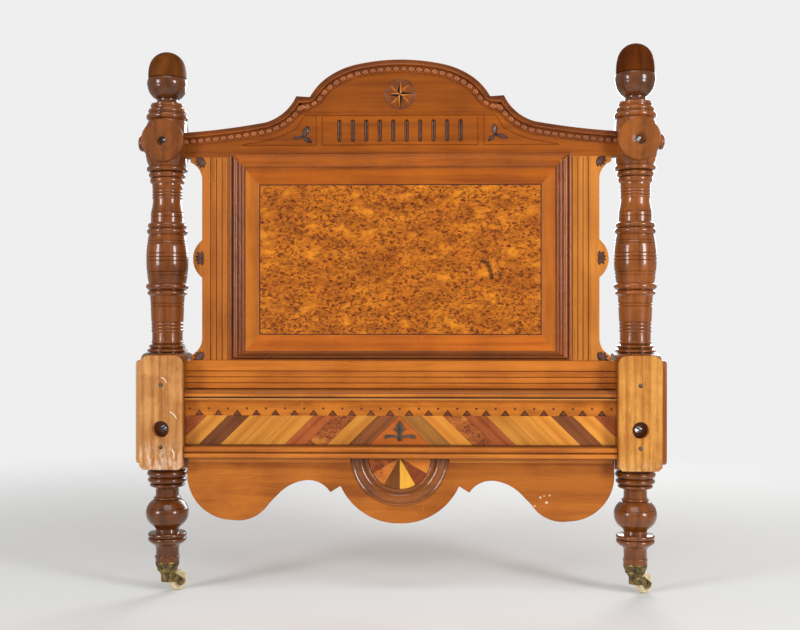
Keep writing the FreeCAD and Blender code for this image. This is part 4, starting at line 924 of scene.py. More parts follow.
def scored(points, heights, width=0.85, depth=0.9):
    """A profile with a fine line cut into it at each height."""
    lined = []
    for here, after in zip(points, points[1:]):
        lined.append(here)
        for height in heights:
            if here[1] < height - width and height + width < after[1]:
                share = (height - here[1]) / (after[1] - here[1])
                radius = here[0] + (after[0] - here[0]) * share
                lined += [(radius, height - width), (radius - depth, height),
                          (radius, height + width)]
    return lined + [points[-1]]


SPIGOT, SPIGOT_FOOT, HALF_BLOCK, HALF_BALL, SHOULDER = 13.9, 42, 36.5, 32, 13
block_corner = math.hypot(HALF_BLOCK, HALF_BLOCK)
post_rows = [(0, SPIGOT_FOOT), (SPIGOT, SPIGOT_FOOT), (SPIGOT, FOOT)]
post_rows += [(foot_turning[0][1] * TURNING, FOOT)] + stretch_of(foot_turning, FOOT, BLOCK_FOOT)
post_rows += [(29.0, BLOCK_FOOT), (33.6, BLOCK_FOOT, 2.4), (block_corner, BLOCK_FOOT + SHOULDER),
              (block_corner, BLOCK_TOP - SHOULDER, 2.4), (33.6, BLOCK_TOP), (28.0, BLOCK_TOP)]
post_rows += stretch_of(shaft_turning, BLOCK_TOP, BALL_FOOT)
post_rows += [(30.0, BALL_FOOT, 9.0), (30.0, COLLAR_FOOT)]
post_rows += stretch_of(collar_turning, COLLAR_FOOT, POST_TOP) + [(26.5, POST_TOP), (0, POST_TOP)]
post_points = scored(spelled_out(post_rows, steps=10), CHISEL_LINES)
print("the post's profile has", len(post_points), "points")

# %% [markdown]
# The square parts come from the square stock that the post was turned from. On the lathe
# the corners are cut away where the turning starts, which leaves the rounded shoulders
# above and below each block. A Boolean does the same: the spun shape is intersected with
# the square stock, and the bolt holes are then drilled out of it. The lower bolt also has
# a wider sinking for its head.

# %% Square the blocks and drill the posts


def prism(name, low, high):
    """A plain stick of stock between two corners, used as a cutting tool."""
    xs, ys, zs = zip(low, high)
    corners = [(x, y, z) for z in zs for y in ys for x in xs]
    faces = [(0, 2, 3, 1), (4, 5, 7, 6), (0, 1, 5, 4), (2, 6, 7, 3), (0, 4, 6, 2), (1, 3, 7, 5)]
    return as_mesh(name, corners, faces)


def carved(mesh, how, tools):
    """Cut tools out of a mesh one after another, or intersect it with them."""
    carrier = in_scene("Blank", mesh)
    helpers = [in_scene("Tool", tool) for tool in tools]
    for helper in helpers:
        modifier = carrier.modifiers.new("Cut", "BOOLEAN")
        modifier.operation, modifier.solver, modifier.object = how, "EXACT", helper
    made = baked(carrier)
    for helper in helpers:
        bpy.data.objects.remove(helper)
    return made


def drill(name, radius, x, y_from, y_to, z, steps=48):
    """A round tool along Y."""
    points = [(0, 0), (radius, 0), (radius, y_from - y_to), (0, y_from - y_to)]
    return spun(name, points, standing(x, y_from, z, TO_FRONT), steps=steps)


def joined(name, meshes):
    """Several meshes in one."""
    shape = bmesh.new()
    for mesh in meshes:
        shape.from_mesh(mesh)
    made = bpy.data.meshes.new(name)
    shape.to_mesh(made)
    shape.free()
    return made


STOCK_FOOT, STOCK_TOP = 30, 830
square_stock = [
    ((-HALF_BLOCK, -HALF_BLOCK, STOCK_FOOT), (HALF_BLOCK, HALF_BLOCK, BALL_FOOT)),
    ((-HALF_BALL, -HALF_BALL, BALL_FOOT), (HALF_BALL, HALF_BALL, COLLAR_FOOT)),
    ((-HALF_BLOCK, -HALF_BLOCK, COLLAR_FOOT), (HALF_BLOCK, HALF_BLOCK, STOCK_TOP)),
]
BOLT_Z, BOLT, BOLT_HEAD, SINKING = 276, 5.3, 13.5, -21.75
BOSS_Z, BOSS_BOLT, CLEAR_OF = 748, 4.5, 60
for which, side in SIDES.items():
    blank = spun(which + "_post_blank", post_points, steps=128)
    slices = [carved(blank.copy(), "INTERSECT", [prism("Stock", low, high)])
              for low, high in square_stock]
    squared = joined(which + "_post_squared", slices)
    squared.transform(standing(POST_X * side, AXIS_Y))
    holes = [drill("Bolt", BOLT, POST_X * side, CLEAR_OF, -CLEAR_OF, BOLT_Z),
             drill("Counterbore", BOLT_HEAD, POST_X * side, SINKING, -CLEAR_OF, BOLT_Z),
             drill("Upper", BOSS_BOLT, POST_X * side, CLEAR_OF, -CLEAR_OF, BOSS_Z)]
    squared = tidy(carved(squared, "DIFFERENCE", holes), angle=38, outward=False)
    piece(which + "_turned_post", squared, post_woods[which], [which + "_post"])
    print(which, "post:", len(squared.polygons), "faces")

# %% [markdown]
# A finial tops each post: a cup, a small neck and an acorn dome. The two aren't quite a
# pair, for the right one stands taller. Their profile follows the same rule of shares.
# The cup kept the gloss of the post while hands wore the dome dull, so they are two
# pieces with a finish each, and the dome ends in a single point on the axis.

# %% Finials

FINIAL, DOWEL, DOWEL_DEEP = 33.5, 8, 20
cup_turning = [
    (0.000, 0.640, -0.050), (0.090, 0.510, 0.100), (0.330, 0.965, 0.030), (0.470, 0.960),
    (0.480, 0.890), (0.493, 0.880),
]
for which, side in SIDES.items():
    low, high = in_mm(which + "_finial")
    tall = high.z - POST_TOP
    dome_start = POST_TOP + tall * cup_turning[-1][0]
    rows = [(0, POST_TOP - DOWEL_DEEP), (DOWEL, POST_TOP - DOWEL_DEEP), (DOWEL, POST_TOP)]
    rows += stretch_of(cup_turning, POST_TOP, high.z, FINIAL) + [(0, dome_start)]
    cup = spun(which + "_finial_cup_mesh", spelled_out(rows, steps=14),
               standing(POST_X * side, AXIS_Y))
    piece(which + "_finial_cup", cup, cup_wood, [which + "_finial"])
    dome_foot, dome_tall = FINIAL * 0.86, tall * 0.24
    ball = (dome_foot ** 2 + dome_tall ** 2) / (2 * dome_tall)
    rise = ball - math.sqrt(ball ** 2 - (dome_foot ** 2 + dome_tall ** 2) / 4)
    rows = [(0, dome_start - 1), (FINIAL * 0.885, dome_start - 1), (FINIAL * 0.885, dome_start),
            (FINIAL * 0.935, POST_TOP + tall * 0.505, FINIAL * 0.03),
            (dome_foot, high.z - dome_tall, rise), (0, high.z)]
    rows = spelled_out(rows, steps=14)
    dome = spun(which + "_finial_dome_mesh", rows, standing(POST_X * side, AXIS_Y),
                marks=[0.0] * len(rows))
    piece(which + "_acorn_finial", dome, finial_woods[which])
    print(which, "finial stands", round(tall), "mm over the post")

# %% [markdown]
# On the front of each ball sits a turned disc with the hole of the upper bolt, and a knob
# on its outer side. The discs are a ring profile, so the lathe joins the last ring to the
# first. Bolts were pulled out of these holes: the left one has a worn lip, the right one
# a torn crater. The damage is made by pressing the rim's points in with noise.

# %% Boss discs and side knobs


def boss_rows(hole, worn):
    """Half of a disc's section, from the back of its hole round to the front."""
    rim = [(hole, 0), (35.0, 0), (35.0, 1.2), (34.6, 1.5), (35.0, 1.9), (35.0, 5.6, 1.0)]
    front = [(radius, 9.0) for radius in (32, 27, 22, 18, 15, 13, 11.6, 10.2, 8.8, hole + worn)]
    return rim + front + [(hole, 9.0 - worn)]


def torn(mesh, centre, reach, depth, seed):
    """Press a front face in round its hole, deeper where noise says so."""
    layer = mesh.attributes["hollow"]
    for number, corner in enumerate(mesh.vertices):
        place = corner.co / MM
        away = math.hypot(place.x - centre[0], place.z - centre[1])
        wobble = noise.noise(Vector((place.x * 0.16, place.z * 0.16, seed)))
        share = 1 - (away + wobble * 4) / reach
        if share > 0 and place.y < -31:
            press = depth * min(1.0, share * 2.6) * (0.6 + 0.7 * abs(wobble))
            corner.co.y += press * MM
            layer.data[number].value = min(1.0, share * 1.4)


DISC_HOLE, DISC_BACK = 5.5, -25.25
DAMAGE = {"left": (8.2, 0.7), "right": (12.6, 2.0)}
for which, side in SIDES.items():
    rows = spelled_out(boss_rows(DISC_HOLE, 0.9), closed=True)
    disc = spun(which + "_boss_mesh", rows, standing(POST_X * side, DISC_BACK, BOSS_Z, TO_FRONT),
                steps=120, marks=[0.0] * len(rows), ring=True)
    torn(disc, (POST_X * side, BOSS_Z), *DAMAGE[which], side * 3.1)
    piece(which + "_front_disc", disc, boss_woods[which], [which + "_boss_disc"])

    knob = [(0, 0), (10.4, 0), (10.4, 3.0), (9.2, 3.6), (9.2, 5.4), (11.0, 6.0),
            (13.0, 8.25, 3.2), (5.0, 14.2, 0.5), (0, 15.0)]
    outward = Matrix.Rotation(math.radians(90 * side), 3, "Y")
    knob = spun(which + "_knob_mesh", spelled_out(knob),
                standing((POST_X + HALF_BALL) * side, AXIS_Y, BOSS_Z, outward), steps=64)
    piece(which + "_side_knob", knob, post_woods[which], [which + "_side_roundel"])
print("discs and knobs:", len(made_pieces), "pieces so far")

# %% [markdown]
# The pads on the posts took the ends of the cot's side rails, so their fronts are bare
# wood. The tablets on the outer sides are varnished, and the left one is paler along its
# front. Both only need the edges of their CAD shapes rounded. The old screws sit just
# under the face of each pad.

# %% Pads, tablets and screws

for which in SIDES:
    pad = rounded(which + "_rail_pad", width=0.7)
    piece(which + "_bare_pad", pad, bare_woods[which], [which + "_rail_pad"])
    tablet = rounded(which + "_side_tablet", width=3.0, segments=4)
    piece(which + "_tablet", tablet, tablet_woods[which],
          [which + "_side_tablet"])
screws = rounded("pad_screws", width=0.4)
piece("old_pad_screws", screws, steel, ["pad_screws"])
print("pads:", [round(c) for c in in_mm("left_rail_pad")[1] - in_mm("left_rail_pad")[0]], "mm")

# %% [markdown]
# A castor is four things: a cup driven onto the post's spigot, a fork that swivels in the
# cup, an axle and a wheel. Each turns on its own CAD body, so each stays its own piece.
# The wheel's axis isn't upright, so its spun shape is laid on its side and then turned by
# the angle at which the castor was left.

# %% Castors

CASTOR_TRAIL, WHEEL_RADIUS = 22.0, 17.0
TRAIL_ANGLE = {"left": 54.0, "right": 41.0}
cup_rows = [(4.05, 31), (10.5, 31, 0.8), (12.6, 33.0), (13.2, 34.2), (15.5, 36, 0.7),
            (16.6, 39.4), (16.2, 39.9), (17.0, 40.4), (19.5, 47.0), (19.5, 48.2), (19.0, 48.6),
            (19.5, 49.1, 0.25), (19.5, 51.6), (19.2, 52), (14.0, 52), (14.0, 38), (4.05, 38)]
wheel_rows = [(2.05, -4.9), (5.1, -6.58), (5.8, -6.58), (7.2, -4.9), (10.9, -4.9, -0.4),
              (12.9, -6.0), (14.3, -6.2, 0.6), (16.2, -4.4, 0.85), (16.2, 4.4, 0.6),
              (14.3, 6.2), (12.9, 6.0, -0.4), (10.9, 4.9), (7.2, 4.9), (5.8, 6.58),
              (5.1, 6.58), (2.05, 4.9)]

for which, side in SIDES.items():
    cup = spun(which + "_cup_mesh", spelled_out(cup_rows, steps=4, closed=True),
               standing(POST_X * side, AXIS_Y), steps=72, ring=True)
    piece(which + "_brass_cup", cup, brass, [which + "_castor_cup"])

    fork = rounded(which + "_castor_horn", width=0.7)
    piece(which + "_brass_fork", fork, brass, [which + "_castor_horn"],
          which + "_castor_fork")
    axle = rounded(which + "_castor_axle", width=0.7, segments=3)
    piece(which + "_wheel_pin", axle, steel, [which + "_castor_axle"],
          which + "_castor_fork")

    turn = Matrix.Rotation(math.radians(TRAIL_ANGLE[which]), 3, "Z")
    hub = turn @ Vector((CASTOR_TRAIL, 0, 0)) + Vector((POST_X * side, AXIS_Y, WHEEL_RADIUS))
    rows = spelled_out(wheel_rows, steps=5, closed=True)
    wheel = spun(which + "_wheel_mesh", rows, standing(*hub, turn @ TO_FRONT), steps=72,
                 marks=[0.3 if r < 12 else 0.0 for r, _ in rows], ring=True)
    piece(which + "_ceramic_wheel", wheel, ceramic, [which + "_castor_wheel"],
          which + "_wheel")
    print(which, "wheel hub at", [round(c, 1) for c in hub])

# %% [markdown]
# The crest board is a wide board sawn to an arch with a sweep down each side. Ten flutes
# are cut in its middle, in a panel marked out by scored lines, with a triangle scored at
# each side of it. The flutes come with the CAD board. The lines are cut here with long
# three-cornered tools, and every cut is marked as hollow, so that dark wax lies in it.

# %% Crest board with its scored lines


def v_tool(start, end, front, width=1.8, depth=1.1, proud=0.6):
    """A three-cornered tool that cuts a line between two points of a board's front."""
    start, end = Vector(start), Vector(end)
    along = (end - start).normalized()
    across = Vector((-along.y, along.x)) * width / 2
    corners = []
    for at in (start, end):
        for spot, lift in ((at + across, -proud), (at - across, -proud), (at, depth)):
            corners.append((spot.x, front + lift, spot.y))
    faces = [(0, 1, 2), (3, 5, 4), (0, 3, 4, 1), (1, 4, 5, 2), (2, 5, 3, 0)]
    return tidy(as_mesh("Line", corners, faces))


def sink_marks(mesh, front, deepest):
    """Mark the points that lie a little behind a front plane as hollow."""
    layer = mesh.attributes.get("hollow") or mesh.attributes.new("hollow", "FLOAT", "POINT")
    for number, corner in enumerate(mesh.vertices):
        depth = corner.co.y / MM - front
        inside = 0.3 < depth < deepest
        layer.data[number].value = min(1.0, depth / 1.6) if inside else 0.0


crest_lines = [((-158, 791.2), (158, 791.2)), ((-128.4, 742.5), (128.4, 742.5))]
for side in SIDES.values():
    crest_lines += [((128.4 * side, 742.0), (128.4 * side, 789.6)),
                    ((138.4 * side, 742.0), (138.4 * side, 790.6)),
                    ((137.6 * side, 742.5), (262.0 * side, 742.5))]
    sweep = [(158.4, 789.5), (171, 770.3), (192.6, 758.6), (217.5, 750.5), (260, 743.5)]
    crest_lines += [((x * side, z), (to_x * side, to_z))
                    for (x, z), (to_x, to_z) in zip(sweep, sweep[1:])]
scoring = [v_tool(*line, BOARD_FRONT) for line in crest_lines]
crest = carved(cad_copy("crest_board", flatten=False), "DIFFERENCE", scoring)
level_fronts(tidy(crest, angle=30, outward=False))
sink_marks(crest, BOARD_FRONT, 4.5)
piece("arched_crest", crest, crest_wood, ["crest_board"])
print("crest:", len(crest.polygons), "faces,", len(crest_lines), "scored lines")

# %% [markdown]
# A smooth moulding follows the arched edge, and inside it runs a row of carved beads. Both
# need lines that lie a little in from the edge and run with it. A curve could be offset
# by hand, but here the edge's rows are spelled out and moved inwards, and the points that
# would fold over each other in a corner gather on the nearest point of the line.

# %% Follow the crest's edge

half_edge = [(356.5, 763.5, -2.02), (222.0, 780.0, -7.38), (171.0, 823.0),
             (148.5, 821.5, 2.75), (117.0, 855.48, 2.32)]
CROWN = (70.54, 875.0)
rises_back = [2.32, 2.75, 0, -7.38, -2.02]
left_edge = [(-CROWN[0], CROWN[1])] + [(-x, z) for x, z, *_ in half_edge[::-1]]
crest_edge = half_edge + [(*CROWN, 7.5)]
crest_edge += [(*spot, rise) for spot, rise in zip(left_edge, rises_back)] + left_edge[-1:]


def to_run(spot, start, end):
    """The point of a straight run that is nearest to a spot."""
    run = end - start
    share = max(0.0, min(1.0, (spot - start).dot(run) / max(run.length_squared, 1e-9)))
    return start + run * share


def drawn_in(points, distance):
    """A line moved to the left of its way: one point for each that it had."""
    spots = [Vector(p) for p in points]
    runs = list(zip(spots, spots[1:]))
    moved = []
    for number, spot in enumerate(spots):
        before = spots[max(0, number - 1)]
        after = spots[min(len(spots) - 1, number + 1)]
        along = (after - before).normalized()
        moved.append(spot + Vector((-along.y, along.x)) * distance)
    clear = [min((p - to_run(p, *run)).length for run in runs) > distance - 0.15
             for p in moved]
    kept = [p for p, good in zip(moved, clear) if good]
    kept_runs = list(zip(kept, kept[1:]))
    for number, good in enumerate(clear):
        if not good:
            spot = moved[number]
            moved[number] = min((to_run(spot, *run) for run in kept_runs),
                                key=lambda p: (p - spot).length)
    return moved


def evenly(points, step):
    """A line's points again, at an even distance from each other."""
    spots = [Vector(p) for p in points]
    total = sum((b - a).length for a, b in zip(spots, spots[1:]))
    count = round(total / step)
    made, gone, here = [spots[0]], 0.0, 0
    for number in range(1, count):
        goal = total * number / count
        while gone + (spots[here + 1] - spots[here]).length < goal:
            gone += (spots[here + 1] - spots[here]).length
            here += 1
        run = spots[here + 1] - spots[here]
        made.append(spots[here] + run * ((goal - gone) / run.length))
    return made + [spots[-1]]


edge_points = spelled_out(crest_edge, steps=40)
bead_line = evenly(drawn_in(edge_points, 15.0), 2.0)
print("the bead line is", round(sum((b - a).length for a, b in zip(bead_line, bead_line[1:]))),
      "mm long")

# %% [markdown]
# The moulding and the flat bed under the beads are profiles carried along those lines,
# with the same number of points at each station. The helper that joins the stations to
# a closed skin with two ends serves every straight or mitred length further down too.

# %% Mouldings of the crest's edge


def skin(count, stations=2):
    """The faces of a closed section of so many points, carried over its stations."""
    total = count * stations
    faces = [tuple(range(count)), tuple(range(total - 1, total - 1 - count, -1))]
    for start in range(0, total - count, count):
        for n in range(count):
            after = start + (n + 1) % count
            faces.append((start + n, start + n + count, after + count, after))
    return faces


def edge_band(name, profile, painted_shade_span=(0, 0)):
    """A profile of (inset, reach) rows carried along the crest's edge, with painted shade over a
    span of insets.
    """
    points = spelled_out(profile, steps=6, closed=True)
    marks = hollows([(reach, inset) for inset, reach in points], 2.2, 2.2)
    marks = [max(mark, 0.55) if painted_shade_span[0] < inset < painted_shade_span[1] else mark
             for mark, (inset, _) in zip(marks, points)]
    lines = {inset: drawn_in(edge_points, inset) for inset in {round(p[0], 2) for p in points}}
    corners = []
    for station in range(len(edge_points)):
        for inset, reach in points:
            spot = lines[round(inset, 2)][station]
            corners.append((spot.x, AXIS_Y - reach, spot.y))
    faces = skin(len(points), len(edge_points))
    return tidy(as_mesh(name, corners, faces, marks * len(edge_points)), angle=36)


edge_profile = [(9.4, 13.9), (9.4, 16.0), (9.0, 18.2), (8.8, 18.6, 1.0), (6.6, 18.6),
                (6.2, 17.0), (6.0, 16.4, -0.9), (1.0, 17.6), (0.0, 17.2), (0.0, 13.9)]
# Painted shade on the outer cove of the moulding, laid through its hollow marks.
edge_moulding = edge_band("edge_moulding", edge_profile, painted_shade_span=(0.5, 6.3))
piece("arched_edge_moulding", edge_moulding, edge_wood,
      ["crest_edge_moulding"])
bed_profile = [(20.4, 13.9), (20.4, 15.8), (19.6, 16.0), (19.4, 14.6), (9.7, 14.6), (9.5, 13.9)]
# The whole bed is darkened through its hollow marks: painted shade in the gaps between the beads.
bead_bed = edge_band("bead_bed", bed_profile, painted_shade_span=(9.6, 19.3))
piece("bead_bed", bead_bed, edge_wood, ["crest_bead_row"])
print("edge moulding:", len(edge_moulding.polygons), "faces")

# %% [markdown]
# One bead is a pointed oval with a nick across it, as it comes off the gouge. Setting
# dozens of them by hand is tedious, and Geometry Nodes do it from one: the tree makes the
# line a curve, resamples it into even steps, sets one bead on each step, turned along the
# way and a little larger or smaller, and makes the copies real at the end.

# %% The carved bead and its row


def carved_bead(long=11.6, wide=10.2, high=3.4):
    """A pointed oval bead with a nick across it, as one low-count shape."""
    corners, faces = [], []
    steps, rows = 10, 5
    for row in range(rows + 1):
        share = row / rows
        for step in range(steps):
            angle = 2 * math.pi * step / steps
            reach = math.cos(share * math.pi / 2)
            x = long / 2 * reach * math.cos(angle)
            y = wide / 2 * reach * math.sin(angle) * (1 - 0.18 * abs(math.cos(angle)))
            lift = high * math.sin(share * math.pi / 2)
            lift -= 0.5 * math.exp(-(x / 1.3) ** 2) * share
            corners.append((x, y, lift))
    for row in range(rows):
        for step in range(steps):
            after = (step + 1) % steps
            low, high_row = row * steps, (row + 1) * steps
            faces.append((low + step, low + after, high_row + after, high_row + step))
    faces.append(tuple(reversed(range(steps))))
    # The foot of each bead is marked hollow: wax, and painted shade in the gaps where the beads
    # meet the bed.
    marks = [max(0.0, 1 - z / 2.2) for _, _, z in corners]
    return tidy(as_mesh("Bead", corners, faces, marks), angle=60)


def row_tree(name, extra):
    """A Geometry Nodes tree with the sockets that every row here shares."""
    shape = "NodeSocketGeometry"
    shared = [("Geometry", shape, None), ("Piece", "NodeSocketObject", None),
              ("Material", "NodeSocketMaterial", None)]
    return new_group(name, shared + extra, [("Geometry", shape)], "GeometryNodeTree")


def geo(tree, kind, inputs=None, output=0, **settings):
    """Add a geometry node and give back one of its outputs."""
    return added(tree, "GeometryNode" + kind, inputs, output, **settings)


def end_row(tree, end, points, given, **placing):
    """Finish a row's tree: the piece on every point, made real, in its material."""
    source = geo(tree, "ObjectInfo", {"Object": given["Piece"]}, output=4,
                 transform_space="ORIGINAL")
    placed = geo(tree, "InstanceOnPoints", {"Points": points, "Instance": source, **placing})
    real = geo(tree, "RealizeInstances", {"Geometry": placed})
    real = geo(tree, "SetMaterial", {"Geometry": real, "Material": given["Material"]})
    feed(tree, end["Geometry"], real)


BEAD_PITCH = 12.6
path_tree, given, end = row_tree("Row along a path", [
    ("Pitch", FLOAT, BEAD_PITCH * MM), ("Size Change", FLOAT, 0.08),
    ("Seed", "NodeSocketInt", 7)])
curve = geo(path_tree, "MeshToCurve", {"Mesh": given["Geometry"]})
steps_on = geo(path_tree, "ResampleCurve", {"Curve": curve, "Length": given["Pitch"]},
               mode="LENGTH")
along = geo(path_tree, "InputTangent")
face = added(path_tree, "FunctionNodeAlignRotationToVector", {"Vector": along}, axis="X",
             pivot_axis="Y")
change = added(path_tree, "FunctionNodeRandomValue", {"Seed": given["Seed"]}, output=1,
               data_type="FLOAT")
change = times(path_tree, calc(path_tree, "SUBTRACT", change, 0.5), given["Size Change"])
end_row(path_tree, end, steps_on, given, Rotation=face, Scale=plus(path_tree, change, 1.0))


def grown(name, start_mesh, tree, pattern, material, values):
    """Run a tree on a mesh with its inputs set by their identifiers, and bake the result."""
    values = {**values, "Piece": bpy.data.objects.new("Pattern", pattern), "Material": material}
    carrier = in_scene(name, start_mesh)
    modifier = carrier.modifiers.new("Row", "NODES")
    modifier.node_group = tree
    for item in tree.interface.items_tree:
        if item.in_out == "INPUT" and item.name in values:
            modifier[item.identifier] = values[item.name]
    return baked(carrier)


line_mesh = bpy.data.meshes.new("BeadLine")
line_mesh.from_pydata([Vector((p.x, BOARD_FRONT - 0.5, p.y)) * MM for p in bead_line],
                      [(n, n + 1) for n in range(len(bead_line) - 1)], [])
bead = carved_bead()
bead.transform(Matrix.Rotation(math.radians(90), 4, "X"))
beads = grown("beads", line_mesh, path_tree, bead, bead_wood,
              {"Pitch": BEAD_PITCH * MM, "Size Change": 0.10, "Seed": 7})
beads.shade_smooth()
piece("carved_bead_row", beads, bead_wood)
print("beads:", len(beads.polygons), "faces")

# %% [markdown]
# The stiles and the rail are flat boards with a few fine grooves planed along them, four
# in a stile and three in the rail, with soft reeds of wood left between. The plane's iron
# takes out a narrow cusp. The cutting tools here have that cusp as their section, and a
# Boolean takes them out of the board. The stiles' outlines end in an ear at each height
# where a leaf is carved.

# %% Reeds


def cusp_tool(middle, start, end, upright, reed=1.5, depth=1.9, front=BOARD_FRONT):
    """What the plane's iron takes out between two reeds."""
    half = reed * 0.86
    left = [(-half + half * (1 - math.cos(t * math.pi / 10)),
             depth * (1 - math.cos(math.asin(t / 5)))) for t in range(0, 6)]
    section = [(-half, -0.8)] + left + [(-x, d) for x, d in left[-2::-1]] + [(half, -0.8)]
    corners = []
    for at in (start, end):
        for across, lift in section:
            x, z = (middle + across, at) if upright else (at, middle + across)
            corners.append((x, front + lift, z))
    return tidy(as_mesh("Cusp", corners, skin(len(section))))


def board(name, outline, front, back):
    """A board from its outline in X and Z, between two depths."""
    points = spelled_out(outline, steps=10, closed=True)
    corners = [(x, y, z) for y in (front, back) for x, z in points]
    return tidy(as_mesh(name, corners, skin(len(points))))


def mirrored(mesh):
    """The mesh turned over to the left side, with its faces still outwards."""
    mesh.transform(Matrix.Scale(-1, 4, (1, 0, 0)))
    mesh.flip_normals()
    return mesh


STILE_INNER, STILE_OUTER, EAR_TIP, RAIL_TOP = 262.7, 327.7, 347.0, 387
REEDS = {"left": (313.6, 9.6), "right": (309.6, 8.7)}
BOARD_BACK = in_mm("left_stile")[1].y
stile_rows = [(STILE_INNER, RAIL_TOP), (EAR_TIP, RAIL_TOP), (EAR_TIP, 395, -5.8),
              (STILE_OUTER, 426), (STILE_OUTER, 523.7, 15.3), (STILE_OUTER, 586.3),
              (STILE_OUTER, 684, -5.8), (EAR_TIP, 715), (EAR_TIP, 723), (STILE_INNER, 723)]

GROOVE_DEEPEST = 3.4
for which, side in SIDES.items():
    blank = softened(board(which + "_stile_blank", stile_rows, BOARD_FRONT, BOARD_BACK), 0.8)
    first, pitch = REEDS[which]
    stile = carved(blank, "DIFFERENCE", [cusp_tool(first - pitch * n, 380, 721.5, True)
                                         for n in range(4)])
    if side < 0:
        mirrored(stile)
    level_fronts(tidy(stile, angle=38, outward=False))
    sink_marks(stile, BOARD_FRONT, GROOVE_DEEPEST)
    piece(which + "_reeded_stile", stile, stile_woods[which], [which + "_stile"])

rail_low = in_mm("reeded_rail")[0]
RAIL_HALF, RAIL_FOOT, PAST_RAIL = 352, 339, 360
SHADOW_REBATE_TOP, LOWEST_GROOVE, GROOVE_PITCH = 341.4, 349.7, 9.8
rail_rows = [(-RAIL_HALF, RAIL_FOOT), (RAIL_HALF, RAIL_FOOT), (RAIL_HALF, RAIL_TOP),
             (-RAIL_HALF, RAIL_TOP)]
rail = board("rail_blank", rail_rows, rail_low.y, BOARD_BACK)
# A rebate along the rail's foot. Its floor is marked hollow with the grooves, which paints it dark:
# a painted shadow line between the rail and the cornice.
shadow_rebate = prism("Shadow rebate", (-PAST_RAIL, rail_low.y - 2, 330), (PAST_RAIL, rail_low.y + 3, SHADOW_REBATE_TOP))
rail = carved(rail, "DIFFERENCE", [shadow_rebate])
grooves = [cusp_tool(LOWEST_GROOVE + GROOVE_PITCH * n, -PAST_RAIL, PAST_RAIL, False, reed=1.6,
                     depth=2.0, front=rail_low.y) for n in range(3)]
rail = carved(rail, "DIFFERENCE", grooves)
level_fronts(tidy(rail, angle=38, outward=False))
sink_marks(rail, rail_low.y, GROOVE_DEEPEST)
piece("reeded_cross_rail", rail, board_wood, ["reeded_rail"])
print("rail front at", round(rail_low.y, 2), "mm")

# %% [markdown]
# A picture-frame moulding goes round the panel, mitred at its corners, and a sloping
# border inside it. Each length is a profile carried between two mitres. A profile here is
# given across the moulding as a share of its width, so that the same one fits the wide
# top and the narrow foot, and every mitre meets.

# %% Mitred mouldings


def corners_of(half, foot, top):
    """The four corners of a frame, from the lower left round to the right."""
    return {"left_foot": (-half, foot), "right_foot": (half, foot),
            "right_top": (half, top), "left_top": (-half, top)}


ENDS = {"top": ("left_top", "right_top"), "bottom": ("right_foot", "left_foot"),
        "left": ("left_foot", "left_top"), "right": ("right_top", "right_foot")}


def mitred(name, edge, outer, inner, profile, back, width):
    """One length of a frame, from one mitre to the next."""
    outer, inner = corners_of(*outer), corners_of(*inner)
    points = spelled_out([(row[0] * width, *row[1:]) for row in profile], steps=7)
    marks = hollows([(reach, across) for across, reach in points], 2.6, 2.2)
    points = [(across / width, reach) for across, reach in points]
    corners = []
    for end in ENDS[edge]:
        (x, z), (to_x, to_z) = outer[end], inner[end]
        corners += [(x + (to_x - x) * share, AXIS_Y - reach, z + (to_z - z) * share)
                    for share, reach in points + back]
    marks += [0.5] * len(back)
    return tidy(as_mesh(name, corners, skin(len(marks)), marks * 2), angle=42)


low, high = in_mm("panel_moulding_left")
foot_low, foot_high = in_mm("panel_moulding_bottom")
top_low, top_high = in_mm("panel_moulding_top")
FRAME = (-low.x + 3.4, foot_low.z, top_high.z)
SIGHT = (-high.x + 1.4, foot_high.z, top_low.z)
veneer_low, veneer_high = in_mm("burl_veneer")
VENEER = (veneer_high.x, veneer_low.z, veneer_high.z)


def lap_back(lap):
    """The back of a moulding that laps over a board by a share of its width."""
    if lap:
        return [(1.0, 4.0), (lap, 4.0), (lap, 14.0), (0.0, 14.0)]
    return [(1.0, 4.0), (0.0, 4.0)]


lined_profile = [
    (0.00, 14.1), (0.01, 15.0, -0.7), (0.17, 15.3), (0.19, 14.2), (0.23, 14.2),
    (0.24, 17.2, -2.2), (0.52, 17.4), (0.54, 15.4), (0.57, 15.4), (0.58, 16.2, -0.8),
    (0.72, 15.8), (0.74, 14.2), (0.77, 14.2), (0.78, 14.8, -0.6), (0.91, 13.6),
    (0.93, 11.6), (1.00, 11.1),
]
top_profile = [
    (0.00, 14.1), (0.02, 14.9), (0.05, 14.9), (0.06, 14.2), (0.09, 14.2), (0.10, 17.4, -0.5),
    (0.16, 17.5, 1.6), (0.70, 14.0), (0.71, 15.0, -0.7), (0.88, 14.4), (0.90, 12.0),
    (0.95, 11.6), (1.00, 11.1),
]
for edge, width, lap in (("top", 27.0, 7 / 27), ("bottom", 15.8, 0), ("left", 25.7, 18.9 / 25.7),
                         ("right", 25.7, 18.9 / 25.7)):
    length = mitred("moulding_" + edge, edge, FRAME, SIGHT,
                    top_profile if edge == "top" else lined_profile, lap_back(lap), width)
    # Each length takes the painted light and shade of its edge.
    finish = {"top": lit_top_moulding, "bottom": shaded_foot_moulding, **side_mouldings_lit_and_shaded}[edge]
    piece("panel_frame_" + edge, length, finish, ["panel_moulding_" + edge])

